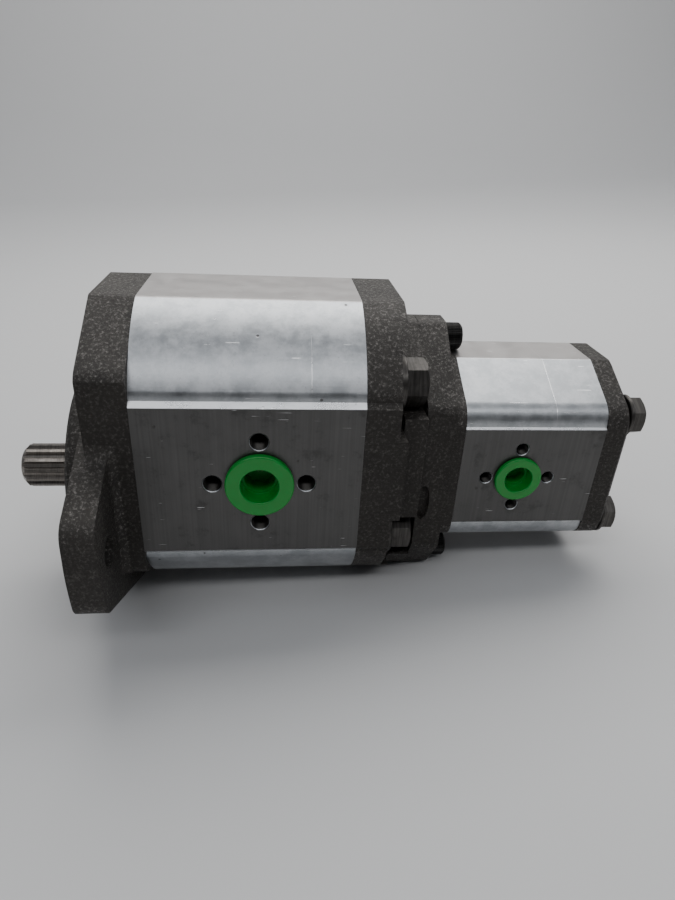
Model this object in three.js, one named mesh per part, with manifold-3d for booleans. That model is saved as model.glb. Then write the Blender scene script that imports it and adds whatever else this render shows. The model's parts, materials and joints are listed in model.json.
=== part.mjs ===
// Tandem external gear pump: a large gear pump and a small one behind it, driven by one
// splined shaft.
//
// Millimetres, +Z up. Inside the assembly X runs along the drive shaft from its splined end to
// the rear, the shaft's axis is y = z = 0, and x = 0 is the front cover's front face. The
// exported group shifts this so that the origin is under the middle of the whole pump.

import * as THREE from "three";
import { mergeVertices } from "three/addons/utils/BufferGeometryUtils.js";
import Module from "manifold-3d";

const wasm = await Module();
wasm.setup();

// ---- Driving dimensions ---------------------------------------------------------------------

// Stations along the shaft. Each casting starts at its own station and ends at the next.
const SHAFT_TIP_X = -47.4;
const PILOT_X = -13.6;
const EAR_X = -4;
const FRONT_COVER_X = 0;
const EAR_BACK_X = 9;
const FRONT_BODY_X = 19.2;
const MID_COVER_X = 114.6;
const MID_RIM_X = 129.5;
const ADAPTER_X = 133.3;
const REAR_COVER_X = 144;
const REAR_FLANGE_BACK_X = 157.5;
const REAR_BODY_X = 162.8;
const END_COVER_X = 229.5;
const END_COVER_BACK_X = 241;

// Gap between stacked castings, and the clearance of pieces that fit or run in one another.
const SEAM = 0.1;
const FIT = 0.3;

// The two gear pumps. The upper gear of each is the idler, and each middle height is half way
// between its gears. Bolts stand boltY to each side and boltRise above and below the middle.
const FRONT = {
  startX: FRONT_BODY_X,
  endX: MID_COVER_X,
  centreDistance: 46.3,
  boreRadius: 27.4,
  gearStartX: 45.8,
  gearEndX: 88,
  journalRadius: 12.5,
  bushRadius: 15.5,
  halfWidth: 57.65,
  portX: 70.6,
  portRadius: 9.75,
  portScrewRing: 20,
  portScrewRadius: 3.4,
  portScrewDepth: 15,
  boltY: 36,
  boltRise: 38.5,
  boltHoleRadius: 6.3,
};
const REAR = {
  startX: REAR_BODY_X,
  endX: END_COVER_X,
  centreDistance: 33.3,
  boreRadius: 19.8,
  gearStartX: 181.8,
  gearEndX: 210.6,
  journalRadius: 9,
  bushRadius: 11,
  halfWidth: 42.7,
  portX: 191.05,
  portRadius: 7.6,
  portScrewRing: 15,
  portScrewRadius: 2.5,
  portScrewDepth: 12,
  boltY: 31,
  boltRise: 27.4,
  boltHoleRadius: 5.3,
};
const FRONT_MIDDLE_Z = FRONT.centreDistance / 2;
const REAR_MIDDLE_Z = REAR.centreDistance / 2;

// Gear teeth.
const GEAR_TEETH = 12;
const PRESSURE_ANGLE = THREE.MathUtils.degToRad(25);
const BACKLASH = 0.45;
const TIP_CLEARANCE = 0.5;
const DEDENDUM = 1.25;

// Mounting flange: a two-bolt flange with a 101.6 mm pilot and bolts 146 mm apart.
const PILOT_RADIUS = 50.8;
const FLANGE_RADIUS = 57.6;
const EAR_REACH = 90.2;
const EAR_BOLT_Y = 73;
const EAR_BOLT_RADIUS = 7.15;
const EAR_CORNER = { inset: 1.8, z: 20.8, radius: 10 };

// Root of an ear on the cover's side: a fillet over its flank and one behind its back. The
// corner is where flank and side would meet. Below, the root ends at the cover's lower slope.
const EAR_ROOT = {
  flankRadius: 10,
  backRadius: 4.2,
  cornerZ: 36.2,
  topZ: 44,
  outerY: 66,
  outerTopZ: 31.8,
  outerBottomZ: -18.5,
  innerBottomZ: -25.3,
  inset: 2,
};
const PILOT_CHAMFER = 1.2;

// Direction from the shaft to where an ear's straight flank touches the flange's disc.
const FLANK_TOUCH = { y: 0.441, z: 0.8975 };

// Drive shaft: a 13-tooth spline outside, and a 9-tooth spline inside that drives the sleeve.
const DRIVE_SPLINE = { teeth: 13, rootRadius: 9.2, tipRadius: 10.9 };
const INNER_SPLINE = { teeth: 9, rootRadius: 6.4, tipRadius: 7.6 };
const SPLINE_CHAMFER = 2.4;
const CENTRE_HOLE = { mouth: 4, taperDepth: 3, radius: 1.6, depth: 6 };

// Half widths of a spline tooth at its root and tip, as fractions of the tooth pitch.
const SPLINE_ROOT_HALF = 0.34;
const SPLINE_TIP_HALF = 0.15;
const FRONT_STUB_END_X = 136;
const REAR_STUB_START_X = 139;
const REAR_STUB_SHOULDER_X = 160;
const SLEEVE = { startX: 117, endX: 157, radius: 12.5 };

// Shaft seal and its retaining ring, in a recess in the pilot.
const SEAL_RECESS = { radius: 20.3, endX: -3.6 };
const RING_GROOVE = { radius: 21.3, startX: -12.7, endX: -11 };
const RETAINING_RING = { width: 3.4, sideGap: 0.15, halfOpening: 0.16 };
const SHAFT_SEAL = { wall: 2.5, face: 2, lipHeight: 2, lipStart: 3.2, lipEnd: 4.5 };
const SHAFT_BORE_RADIUS = 15;

// Bearings: the gap at the ends of blocks and shafts, and the relief pockets beside the mesh,
// whose places across the pump are fractions of the centre distance.
const BLOCK_GAP = 0.5;
const SHAFT_GAP = 0.8;
const BUSH_INSET = 0.2;
const RELIEF = { inner: 0.1, outer: 0.25, halfHeight: 2, depth: 2 };

// Body seals, by their distances outside the gear chamber.
const BODY_SEAL = { inner: 2.5, outer: 4.4, thickness: 1.3, grooveDepth: 1.8, inset: 0.2 };

// Section heights and slopes of the castings.
const FRONT_COVER = { halfWidth: 57, halfHeight: 70.05, flatHalfWidth: 20.5, slope: 32, corner: 12 };
const FRONT_COVER_MILLED_OFF = 1.5;
const FRONT_BODY = { arcRadius: 62, arcOffset: 11.85, halfHeight: 70.15, faceHalfHeight: 34.9 };
const REAR_SECTION = { halfWidth: 42.7, halfHeight: 48.45, flatHalfWidth: 12.7, slope: 28, corner: 12 };
const REAR_FACE_HALF_HEIGHT = 25;
const END_COVER_EDGE = 2;

// Step beside each port face: how far the face stands proud, and the height of its slope.
const FRONT_LEDGE = { depth: 2.2, rise: 2.3 };
const REAR_LEDGE = { depth: 1, rise: 1 };

// Adapter and rear pump's flange: one lobe over the top cap screw, two over the lower ones.
const LOBE_TOP = { halfWidth: 6.5, z: 80.3, radius: 5 };
const LOBE_SHOULDER = { z: 51.8, radius: 5 };
const LOBE_LOWER_SHOULDER = { z: -22, radius: 7 };
const LOBE_BOTTOM = { halfWidth: 26, z: -46, radius: 8 };
const ADAPTER_HALF_WIDTH = 47;
const REAR_FLANGE_HALF_WIDTH = 43.6;
const SPOTFACE_RADIUS = 18.5;
const HEAD_POCKET_RADIUS = 12.8;
const COUPLING_BORE_RADIUS = 14;
const PRY_SLOT = { x: 147, z: 3.4, radius: 3, stretch: 3.15, length: 8 };

// Fasteners.
const FRONT_BOLT = { tipX: 6, headX: 133.4, headHeight: 9.6, shankRadius: 5.85, acrossFlats: 19 };
const FRONT_WASHER = { startX: 129.8, thickness: 3.4, hole: 6.4, radius: 12 };
const REAR_BOLT = { tipX: 151, headX: 243.1, headHeight: 6.4, shankRadius: 4.9, acrossFlats: 16 };
const REAR_WASHER = { startX: 241.1, thickness: 1.8, hole: 5.3, radius: 10 };
const CAP_SCREW = { tipX: 119, headX: 158.8, headHeight: 8, shankRadius: 4, headRadius: 6.5, socket: 6 };
const CAP_WASHER = { startX: 157.7, thickness: 0.9, hole: 4.4, radius: 6.6 };
const CAP_SCREW_HOLE = 4.4;
const CAP_SCREW_PLACES = { top: [0, 71.65], lower_near: [-22, -36], lower_far: [22, -36] };

// How far each bolt's head is turned, in degrees: upper near, upper far, lower near, lower far.
const FRONT_HEAD_TURNS = [-20, 20, 0, 0];
const REAR_HEAD_TURNS = [0, 0, 0, 0];

const DOWEL = { startX: 12, endX: 27, radius: 3, y: 48 };

// Port plugs: a ring that rests on the port face and a stepped cup inside the port.
const FRONT_PLUG = { ringRadius: 14.75, cupRadius: 9.2, innerRadius: 8.15, proud: 3, depth: 14 };
const REAR_PLUG = { ringRadius: 11.15, cupRadius: 7.2, innerRadius: 6.5, proud: 2.5, depth: 10 };
const PLUG_FLOOR = 1.2;
const PLUG_RIM = 0.9;

const FINISHES = {
  castIron: { color: 0x3d3934, roughness: 0.75, metalness: 0.5 },
  aluminium: { color: 0x98a2ab, roughness: 0.4, metalness: 0.9 },
  steel: { color: 0xb8aea2, roughness: 0.35, metalness: 1 },
  darkSteel: { color: 0x55524e, roughness: 0.45, metalness: 0.9 },
  blackSteel: { color: 0x1f1f20, roughness: 0.5, metalness: 0.8 },
  bronze: { color: 0xa57f4f, roughness: 0.45, metalness: 0.9 },
  rubber: { color: 0x18181a, roughness: 0.85, metalness: 0 },
  plugPlastic: { color: 0x0a7f3c, roughness: 0.45, metalness: 0 },
};

// ---- Solids ---------------------------------------------------------------------------------

// A closed geometry as a solid that can be cut and joined.
function solid(geometry) {
  geometry.deleteAttribute("normal");
  geometry.deleteAttribute("uv");
  const merged = mergeVertices(geometry, 1e-4);
  const corners = merged.index.array;
  const triangles = [];
  for (let i = 0; i < corners.length; i += 3) {
    const [a, b, c] = corners.slice(i, i + 3);
    if (a !== b && b !== c && c !== a) triangles.push(a, b, c);
  }
  const mesh = new wasm.Mesh({
    numProp: 3,
    vertProperties: merged.attributes.position.array,
    triVerts: new Uint32Array(triangles),
  });
  return new wasm.Manifold(mesh);
}

function geometryOf(shape) {
  const { vertProperties, triVerts } = shape.getMesh();
  const geometry = new THREE.BufferGeometry();
  geometry.setAttribute("position", new THREE.BufferAttribute(vertProperties, 3));
  geometry.setIndex(new THREE.BufferAttribute(triVerts, 1));
  geometry.computeVertexNormals();
  return geometry;
}

function cutAll(shape, cutters) {
  return cutters.reduce((rest, cutter) => rest.subtract(cutter), shape);
}

function joinAll(shapes) {
  return shapes.reduce((whole, shape) => whole.add(shape));
}

// An outline's local x, y and z become Y, Z and X.
const ALONG_X = new THREE.Matrix4().makeBasis(
  new THREE.Vector3(0, 1, 0),
  new THREE.Vector3(0, 0, 1),
  new THREE.Vector3(1, 0, 0),
);

// An outline in (y, z), extruded along X.
function plate(outline, fromX, toX, curveSegments = 3) {
  const depth = toX - fromX;
  const geometry = new THREE.ExtrudeGeometry(outline, { depth, bevelEnabled: false, curveSegments });
  geometry.applyMatrix4(ALONG_X);
  geometry.translate(fromX, 0, 0);
  return solid(geometry);
}

function rod(radius, fromX, toX, y = 0, z = 0, sides = 20) {
  const geometry = new THREE.CylinderGeometry(radius, radius, toX - fromX, sides);
  geometry.rotateZ(-Math.PI / 2);
  geometry.translate((fromX + toX) / 2, y, z);
  return solid(geometry);
}

// A piece turned about X. The profile is a list of (x, radius), outer side from front to rear,
// and starts and ends on the axis or on itself.
function turned(profile, y = 0, z = 0, sides = 20) {
  const points = profile.map(([x, radius]) => new THREE.Vector2(radius, x));
  const geometry = new THREE.LatheGeometry(points, sides);
  geometry.rotateZ(-Math.PI / 2);
  geometry.translate(0, y, z);
  return solid(geometry);
}

// A piece turned about an axis along Y. The profile is a list of (height, radius) from a face
// that looks out along side * Y.
function turnedOut(profile, side, x, y, z, sides = 16) {
  const points = profile.map(([height, radius]) => new THREE.Vector2(radius, height));
  const geometry = new THREE.LatheGeometry(points, sides);
  if (side < 0) geometry.rotateX(Math.PI);
  geometry.translate(x, y, z);
  return solid(geometry);
}

function block([fromX, toX], [fromY, toY], [fromZ, toZ]) {
  const geometry = new THREE.BoxGeometry(toX - fromX, toY - fromY, toZ - fromZ);
  geometry.translate((fromX + toX) / 2, (fromY + toY) / 2, (fromZ + toZ) / 2);
  return solid(geometry);
}

function tube({ startX, thickness, hole, radius }, y, z, sides = 12) {
  const endX = startX + thickness;
  const profile = [[startX, hole], [startX, radius], [endX, radius], [endX, hole], [startX, hole]];
  return turned(profile, y, z, sides);
}

// ---- Outlines, in (y, z) --------------------------------------------------------------------

// The right half's corners from bottom to top, with their mirror images on the left.
function bothSides(rightHalf) {
  const leftHalf = rightHalf.map(([y, z, radius]) => [-y, z, radius]).reverse();
  return [...rightHalf, ...leftHalf];
}

// A polygon of (y, z, radius) corners, anticlockwise, with each corner rounded to its radius.
function roundedOutline(corners) {
  const outline = new THREE.Shape();
  corners.forEach(([y, z, radius], index) => {
    const corner = new THREE.Vector2(y, z);
    if (radius === 0) {
      if (index === 0) outline.moveTo(y, z);
      else outline.lineTo(y, z);
      return;
    }
    const [previousY, previousZ] = corners.at(index - 1);
    const [nextY, nextZ] = corners[(index + 1) % corners.length];
    const back = new THREE.Vector2(previousY, previousZ).sub(corner).normalize();
    const ahead = new THREE.Vector2(nextY, nextZ).sub(corner).normalize();
    const halfAngle = Math.acos(back.dot(ahead)) / 2;
    const inward = back.clone().add(ahead).normalize();
    const centre = corner.clone().addScaledVector(inward, radius / Math.sin(halfAngle));
    const from = corner.clone().addScaledVector(back, radius / Math.tan(halfAngle)).sub(centre);
    const to = corner.clone().addScaledVector(ahead, radius / Math.tan(halfAngle)).sub(centre);
    const turnsRight = back.cross(ahead) > 0;
    if (index === 1) outline.lineTo(centre.x + from.x, centre.y + from.y);
    outline.absarc(centre.x, centre.y, radius, from.angle(), to.angle(), turnsRight);
  });
  return outline;
}

// Flat top and bottom, sloping shoulders and vertical sides, mirrored about middleZ.
function shoulderedOutline({ halfWidth, halfHeight, flatHalfWidth, slope, corner }, middleZ) {
  const drop = (halfWidth - flatHalfWidth) * Math.tan(THREE.MathUtils.degToRad(slope));
  const shoulder = halfHeight - drop;
  return roundedOutline(bothSides([
    [flatHalfWidth, middleZ - halfHeight, 0],
    [halfWidth, middleZ - shoulder, corner],
    [halfWidth, middleZ + shoulder, corner],
    [flatHalfWidth, middleZ + halfHeight, 0],
  ]));
}

// The large pump's section: round shoulders, flat top and bottom, and a port face on each side
// that stands proud of the shoulders by a small ledge.
function frontBodyOutline() {
  const { arcRadius, arcOffset, halfHeight, faceHalfHeight } = FRONT_BODY;
  const ledgeY = FRONT.halfWidth - FRONT_LEDGE.depth;
  const ledgeHeight = faceHalfHeight + FRONT_LEDGE.rise;
  const faceAngle = Math.acos(ledgeY / arcRadius);
  const topAngle = Math.asin((halfHeight - arcOffset) / arcRadius);
  const outline = new THREE.Shape();
  for (const side of [1, -1]) {
    const faceTurn = side > 0 ? 0 : Math.PI;
    const lowerZ = FRONT_MIDDLE_Z - side * arcOffset;
    const upperZ = FRONT_MIDDLE_Z + side * arcOffset;
    outline.absarc(0, lowerZ, arcRadius, faceTurn - topAngle, faceTurn - faceAngle);
    outline.lineTo(side * ledgeY, FRONT_MIDDLE_Z - side * ledgeHeight);
    outline.lineTo(side * FRONT.halfWidth, FRONT_MIDDLE_Z - side * faceHalfHeight);
    outline.lineTo(side * FRONT.halfWidth, FRONT_MIDDLE_Z + side * faceHalfHeight);
    outline.lineTo(side * ledgeY, FRONT_MIDDLE_Z + side * ledgeHeight);
    outline.absarc(0, upperZ, arcRadius, faceTurn + faceAngle, faceTurn + topAngle);
  }
  return outline;
}

function rearBodyOutline() {
  const { halfWidth, halfHeight, flatHalfWidth, slope, corner } = REAR_SECTION;
  const ledgeY = halfWidth - REAR_LEDGE.depth;
  const drop = (ledgeY - flatHalfWidth) * Math.tan(THREE.MathUtils.degToRad(slope));
  const shoulder = halfHeight - drop;
  const face = REAR_FACE_HALF_HEIGHT;
  const ledge = face + REAR_LEDGE.rise;
  return roundedOutline(bothSides([
    [flatHalfWidth, REAR_MIDDLE_Z - halfHeight, 0],
    [ledgeY, REAR_MIDDLE_Z - shoulder, corner - 1],
    [ledgeY, REAR_MIDDLE_Z - ledge, 0],
    [halfWidth, REAR_MIDDLE_Z - face, 0],
    [halfWidth, REAR_MIDDLE_Z + face, 0],
    [ledgeY, REAR_MIDDLE_Z + ledge, 0],
    [ledgeY, REAR_MIDDLE_Z + shoulder, corner - 1],
    [flatHalfWidth, REAR_MIDDLE_Z + halfHeight, 0],
  ]));
}

// Outline shared by the adapter and the rear pump's flange, apart from their widths.
function lobedOutline(halfWidth) {
  return roundedOutline(bothSides([
    [LOBE_BOTTOM.halfWidth, LOBE_BOTTOM.z, LOBE_BOTTOM.radius],
    [halfWidth, LOBE_LOWER_SHOULDER.z, LOBE_LOWER_SHOULDER.radius],
    [halfWidth, LOBE_SHOULDER.z, LOBE_SHOULDER.radius],
    [LOBE_TOP.halfWidth, LOBE_TOP.z, LOBE_TOP.radius],
  ]));
}

// Two overlapping circles, one about each gear's axis.
function figureEight(radius, centreDistance) {
  const waist = Math.asin(centreDistance / 2 / radius);
  const outline = new THREE.Shape();
  outline.absarc(0, centreDistance, radius, -waist, Math.PI + waist);
  outline.absarc(0, 0, radius, Math.PI - waist, 2 * Math.PI + waist);
  return outline;
}

function hexagon(acrossFlats, y, z, turn = 0) {
  const cornerRadius = acrossFlats / 2 / Math.cos(Math.PI / 6);
  const corners = [1, 3, 5, 7, 9, 11].map((sixth) => {
    const angle = (sixth * Math.PI) / 6 + THREE.MathUtils.degToRad(turn);
    return [y + cornerRadius * Math.cos(angle), z + cornerRadius * Math.sin(angle), 0];
  });
  return roundedOutline(corners);
}

// Straight-sided spline teeth. The slack widens the outline evenly, for the mating hole.
function splineOutline({ teeth, rootRadius, tipRadius }, slack = 0) {
  const step = (2 * Math.PI) / teeth;
  const widen = slack / rootRadius;
  const flank = [
    [rootRadius + slack, -SPLINE_ROOT_HALF * step - widen],
    [tipRadius + slack, -SPLINE_TIP_HALF * step - widen],
    [tipRadius + slack, SPLINE_TIP_HALF * step + widen],
    [rootRadius + slack, SPLINE_ROOT_HALF * step + widen],
  ];
  const corners = [];
  for (let tooth = 0; tooth < teeth; tooth += 1) {
    for (const [radius, offset] of flank) {
      const angle = tooth * step + offset;
      corners.push([radius * Math.cos(angle), radius * Math.sin(angle), 0]);
    }
  }
  return roundedOutline(corners);
}

// Involute gear teeth about (0, centreZ), with one tooth at the given turn.
function gearOutline(pump, centreZ, turn) {
  const pitchRadius = pump.centreDistance / 2;
  const baseRadius = pitchRadius * Math.cos(PRESSURE_ANGLE);
  const tipRadius = pump.boreRadius - TIP_CLEARANCE;
  const rootRadius = pitchRadius - (DEDENDUM * pump.centreDistance) / GEAR_TEETH;
  const involute = (angle) => Math.tan(angle) - angle;
  const halfTooth = Math.PI / (2 * GEAR_TEETH) - BACKLASH / (2 * pitchRadius);
  const halfAngle = (radius) => {
    const pressure = Math.acos(Math.min(1, baseRadius / radius));
    return halfTooth + involute(PRESSURE_ANGLE) - involute(pressure);
  };
  const radii = [rootRadius, baseRadius, (baseRadius + tipRadius) / 2, tipRadius];
  const rising = radii.map((radius) => [radius, -halfAngle(radius)]);
  const falling = radii.map((radius) => [radius, halfAngle(radius)]).reverse();
  const corners = [];
  for (let tooth = 0; tooth < GEAR_TEETH; tooth += 1) {
    for (const [radius, offset] of [...rising, ...falling]) {
      const angle = turn + (tooth * 2 * Math.PI) / GEAR_TEETH + offset;
      corners.push([radius * Math.cos(angle), centreZ + radius * Math.sin(angle), 0]);
    }
  }
  return roundedOutline(corners);
}

// ---- Castings -------------------------------------------------------------------------------

function boltPlaces(pump) {
  const middleZ = pump.centreDistance / 2;
  return [1, -1].flatMap((up) => [-1, 1].map((side) => [
    side * pump.boltY,
    middleZ + up * pump.boltRise,
  ]));
}

function boltHoles(pump, fromX, toX) {
  return boltPlaces(pump).map(([y, z]) => rod(pump.boltHoleRadius, fromX, toX, y, z, 12));
}

function capScrewHoles(fromX, toX) {
  return Object.values(CAP_SCREW_PLACES).map(([y, z]) => rod(CAP_SCREW_HOLE, fromX, toX, y, z, 12));
}

// A round pocket that runs out through the nearer side of the casting.
function openPocket(radius, fromX, toX, y, z) {
  const beyond = Math.sign(y) * (EAR_REACH - 10);
  const across = [Math.min(y, beyond), Math.max(y, beyond)];
  const slot = block([fromX, toX], across, [z - radius, z + radius]);
  return rod(radius, fromX, toX, y, z).add(slot);
}

// The flange's flanks run from the ears to touch a disc about the shaft.
function mountingFlange() {
  const tangentY = FLANK_TOUCH.y * FLANGE_RADIUS;
  const tangentZ = FLANK_TOUCH.z * FLANGE_RADIUS;
  const cornerY = EAR_REACH - EAR_CORNER.inset;
  const outline = roundedOutline(bothSides([
    [tangentY, -tangentZ, 0],
    [cornerY, -EAR_CORNER.z, EAR_CORNER.radius],
    [EAR_REACH, 0, EAR_REACH],
    [cornerY, EAR_CORNER.z, EAR_CORNER.radius],
    [tangentY, tangentZ, 0],
  ]));
  const ears = plate(outline, EAR_X, EAR_BACK_X);
  return ears.add(rod(FLANGE_RADIUS, EAR_X, EAR_BACK_X, 0, 0, 32));
}

// The (y, z) outline of an ear's root, on the right side.
function earRootOutline() {
  const wallY = FRONT_COVER.halfWidth;
  const innerY = wallY - EAR_ROOT.inset;
  return roundedOutline([
    [innerY, EAR_ROOT.innerBottomZ, 0],
    [EAR_ROOT.outerY, EAR_ROOT.outerBottomZ, 0],
    [EAR_ROOT.outerY, EAR_ROOT.outerTopZ, 0],
    [wallY, EAR_ROOT.cornerZ, EAR_ROOT.flankRadius],
    [wallY, EAR_ROOT.topZ, 0],
    [innerY, EAR_ROOT.topZ, 0],
  ]);
}

// A quarter-round column between an ear's back and the cover's side.
function earBackFillet() {
  const { backRadius: radius, innerBottomZ, topZ } = EAR_ROOT;
  const section = new THREE.Shape();
  section.moveTo(-1, -1);
  section.lineTo(radius, -1);
  section.lineTo(radius, 0);
  section.absarc(radius, radius, radius, -Math.PI / 2, Math.PI, true);
  section.lineTo(-1, radius);
  const depth = topZ - innerBottomZ;
  const geometry = new THREE.ExtrudeGeometry(section, { depth, bevelEnabled: false, curveSegments: 3 });
  geometry.translate(EAR_BACK_X, FRONT_COVER.halfWidth, innerBottomZ);
  return solid(geometry);
}

function earRoot(side) {
  const behindX = EAR_BACK_X + EAR_ROOT.backRadius + 1;
  const behind = plate(earRootOutline(), EAR_BACK_X - 1, behindX).intersect(earBackFillet());
  const root = plate(earRootOutline(), FRONT_COVER_X, EAR_BACK_X).add(behind);
  return side > 0 ? root : root.mirror([0, 1, 0]);
}

// The cover is cast with round shoulders, and its sides are then milled flat.
function coverSlab() {
  const cast = { ...FRONT_COVER, halfWidth: FRONT_COVER.halfWidth + FRONT_COVER_MILLED_OFF };
  const along = [FRONT_COVER_X, FRONT_BODY_X];
  const across = [-FRONT_COVER.halfWidth, FRONT_COVER.halfWidth];
  const upright = [FRONT_MIDDLE_Z - FRONT_COVER.halfHeight - 1, FRONT_MIDDLE_Z + FRONT_COVER.halfHeight + 1];
  return plate(shoulderedOutline(cast, FRONT_MIDDLE_Z), ...along).intersect(block(along, across, upright));
}

function frontCover() {
  const pilotProfile = [
    [PILOT_X, 0],
    [PILOT_X, PILOT_RADIUS - PILOT_CHAMFER],
    [PILOT_X + PILOT_CHAMFER, PILOT_RADIUS],
    [FRONT_COVER_X + 1, PILOT_RADIUS],
    [FRONT_COVER_X + 1, 0],
  ];
  const outside = joinAll([
    turned(pilotProfile, 0, 0, 32),
    mountingFlange(),
    coverSlab(),
    earRoot(-1),
    earRoot(1),
  ]);
  const ears = [-1, 1].map((side) => rod(EAR_BOLT_RADIUS, EAR_X - 1, EAR_BACK_X + 1, side * EAR_BOLT_Y));
  const dowels = [-1, 1].map((side) => dowelHole(side, DOWEL.startX - 0.5, FRONT_BODY_X + 1));
  return cutAll(outside, [
    rod(SEAL_RECESS.radius, PILOT_X - 1, SEAL_RECESS.endX, 0, 0, 24),
    rod(RING_GROOVE.radius, RING_GROOVE.startX, RING_GROOVE.endX, 0, 0, 24),
    rod(SHAFT_BORE_RADIUS, PILOT_X, FRONT_BODY_X + 1),
    ...ears,
    ...dowels,
    ...boltHoles(FRONT, FRONT_BOLT.tipX - 2, FRONT_BODY_X + 1),
  ]);
}

function dowelHole(side, fromX, toX) {
  return rod(DOWEL.radius + FIT, fromX, toX, side * DOWEL.y, FRONT_MIDDLE_Z, 12);
}

// One port and its four tapped holes, drilled in from the port face on one side.
function portCutters(pump, side) {
  const middleZ = pump.centreDistance / 2;
  const faceY = side * pump.halfWidth;
  const bottom = -pump.halfWidth;
  const port = [[bottom, 0], [bottom, pump.portRadius], [1, pump.portRadius], [1, 0]];
  const screwBottom = -pump.portScrewDepth;
  const tapped = [[screwBottom, 0], [screwBottom, pump.portScrewRadius], [1, pump.portScrewRadius], [1, 0]];
  const ring = pump.portScrewRing;
  const places = [[ring, 0], [-ring, 0], [0, ring], [0, -ring]];
  const screws = places.map(([x, z]) => turnedOut(tapped, side, pump.portX + x, faceY, middleZ + z, 10));
  return [turnedOut(port, side, pump.portX, faceY, middleZ), ...screws];
}

// A pump body: its outline, the figure-eight gear chamber, seal grooves, bolt holes and ports.
function pumpBody(pump, outline) {
  const startX = pump.startX + SEAM;
  const chamber = plate(figureEight(pump.boreRadius, pump.centreDistance), startX - 1, pump.endX + 1, 10);
  const grooves = [
    sealBand(pump, startX - 1, startX + BODY_SEAL.grooveDepth, FIT),
    sealBand(pump, pump.endX - BODY_SEAL.grooveDepth, pump.endX + 1, FIT),
  ];
  return cutAll(plate(outline, startX, pump.endX, 5), [
    chamber,
    ...grooves,
    ...boltHoles(pump, startX - 1, pump.endX + 1),
    ...portCutters(pump, -1),
    ...portCutters(pump, 1),
  ]);
}

function midCover() {
  const outline = frontBodyOutline();
  const rim = plate(outline, MID_COVER_X + SEAM, ADAPTER_X, 5);
  const spotfaces = boltPlaces(FRONT).map(([y, z]) => (
    openPocket(SPOTFACE_RADIUS, MID_RIM_X, ADAPTER_X + 1, y, z)
  ));
  return cutAll(rim, [
    ...spotfaces,
    ...boltHoles(FRONT, MID_COVER_X - 1, MID_RIM_X + 1),
    ...capScrewHoles(CAP_SCREW.tipX - 2, ADAPTER_X + 1),
    rod(COUPLING_BORE_RADIUS, MID_COVER_X - 1, ADAPTER_X + 1),
  ]);
}

// A shallow arched slot in both sides of the rear pump's flange, open to the seam in front of
// it, for prying the pumps apart.
function prySlots() {
  const { x, z, radius, stretch, length } = PRY_SLOT;
  return [-1, 1].map((side) => {
    const geometry = new THREE.CylinderGeometry(radius, radius, length, 10);
    geometry.scale(1, 1, stretch);
    geometry.translate(x, side * (REAR_FLANGE_HALF_WIDTH + 1), z);
    return solid(geometry);
  });
}

function adapterPlate() {
  const pockets = boltPlaces(FRONT).map(([y, z]) => (
    openPocket(HEAD_POCKET_RADIUS, ADAPTER_X - 1, REAR_COVER_X + 1, y, z)
  ));
  return cutAll(plate(lobedOutline(ADAPTER_HALF_WIDTH), ADAPTER_X + SEAM, REAR_COVER_X), [
    ...pockets,
    ...capScrewHoles(ADAPTER_X - 1, REAR_COVER_X + 1),
    rod(COUPLING_BORE_RADIUS, ADAPTER_X - 1, REAR_COVER_X + 1),
  ]);
}

function rearPumpCover() {
  const flange = plate(lobedOutline(REAR_FLANGE_HALF_WIDTH), REAR_COVER_X + SEAM, REAR_FLANGE_BACK_X);
  const neck = plate(shoulderedOutline(REAR_SECTION, REAR_MIDDLE_Z), REAR_COVER_X + 1, REAR_BODY_X);
  return cutAll(flange.add(neck), [
    ...prySlots(),
    ...capScrewHoles(REAR_COVER_X - 1, REAR_FLANGE_BACK_X + 1),
    ...boltHoles(REAR, REAR_BOLT.tipX - 2, REAR_BODY_X + 1),
    rod(COUPLING_BORE_RADIUS, REAR_COVER_X - 1, REAR_BODY_X + 1),
  ]);
}

// The end cover's rear edge is sloped all round, towards the middle of its back.
function rearEndCover() {
  const startX = END_COVER_X + SEAM;
  const edgeX = END_COVER_BACK_X - END_COVER_EDGE;
  const outline = shoulderedOutline(REAR_SECTION, REAR_MIDDLE_Z);
  const narrowing = 1 - END_COVER_EDGE / REAR_SECTION.halfWidth;
  const sloped = new THREE.ExtrudeGeometry(outline, {
    depth: END_COVER_EDGE,
    bevelEnabled: false,
    curveSegments: 3,
  });
  sloped.translate(0, -REAR_MIDDLE_Z, 0);
  const points = sloped.attributes.position;
  for (let i = 0; i < points.count; i += 1) {
    const scale = points.getZ(i) > END_COVER_EDGE / 2 ? narrowing : 1;
    points.setXY(i, points.getX(i) * scale, points.getY(i) * scale);
  }
  sloped.translate(0, REAR_MIDDLE_Z, 0);
  sloped.applyMatrix4(ALONG_X);
  sloped.translate(edgeX, 0, 0);
  const cover = plate(outline, startX, edgeX).add(solid(sloped));
  return cutAll(cover, boltHoles(REAR, startX - 1, END_COVER_BACK_X + 1));
}

// ---- Shafts, gears and bearings -------------------------------------------------------------

function gear(pump, centreZ, turn) {
  return plate(gearOutline(pump, centreZ, turn), pump.gearStartX, pump.gearEndX);
}

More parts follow.
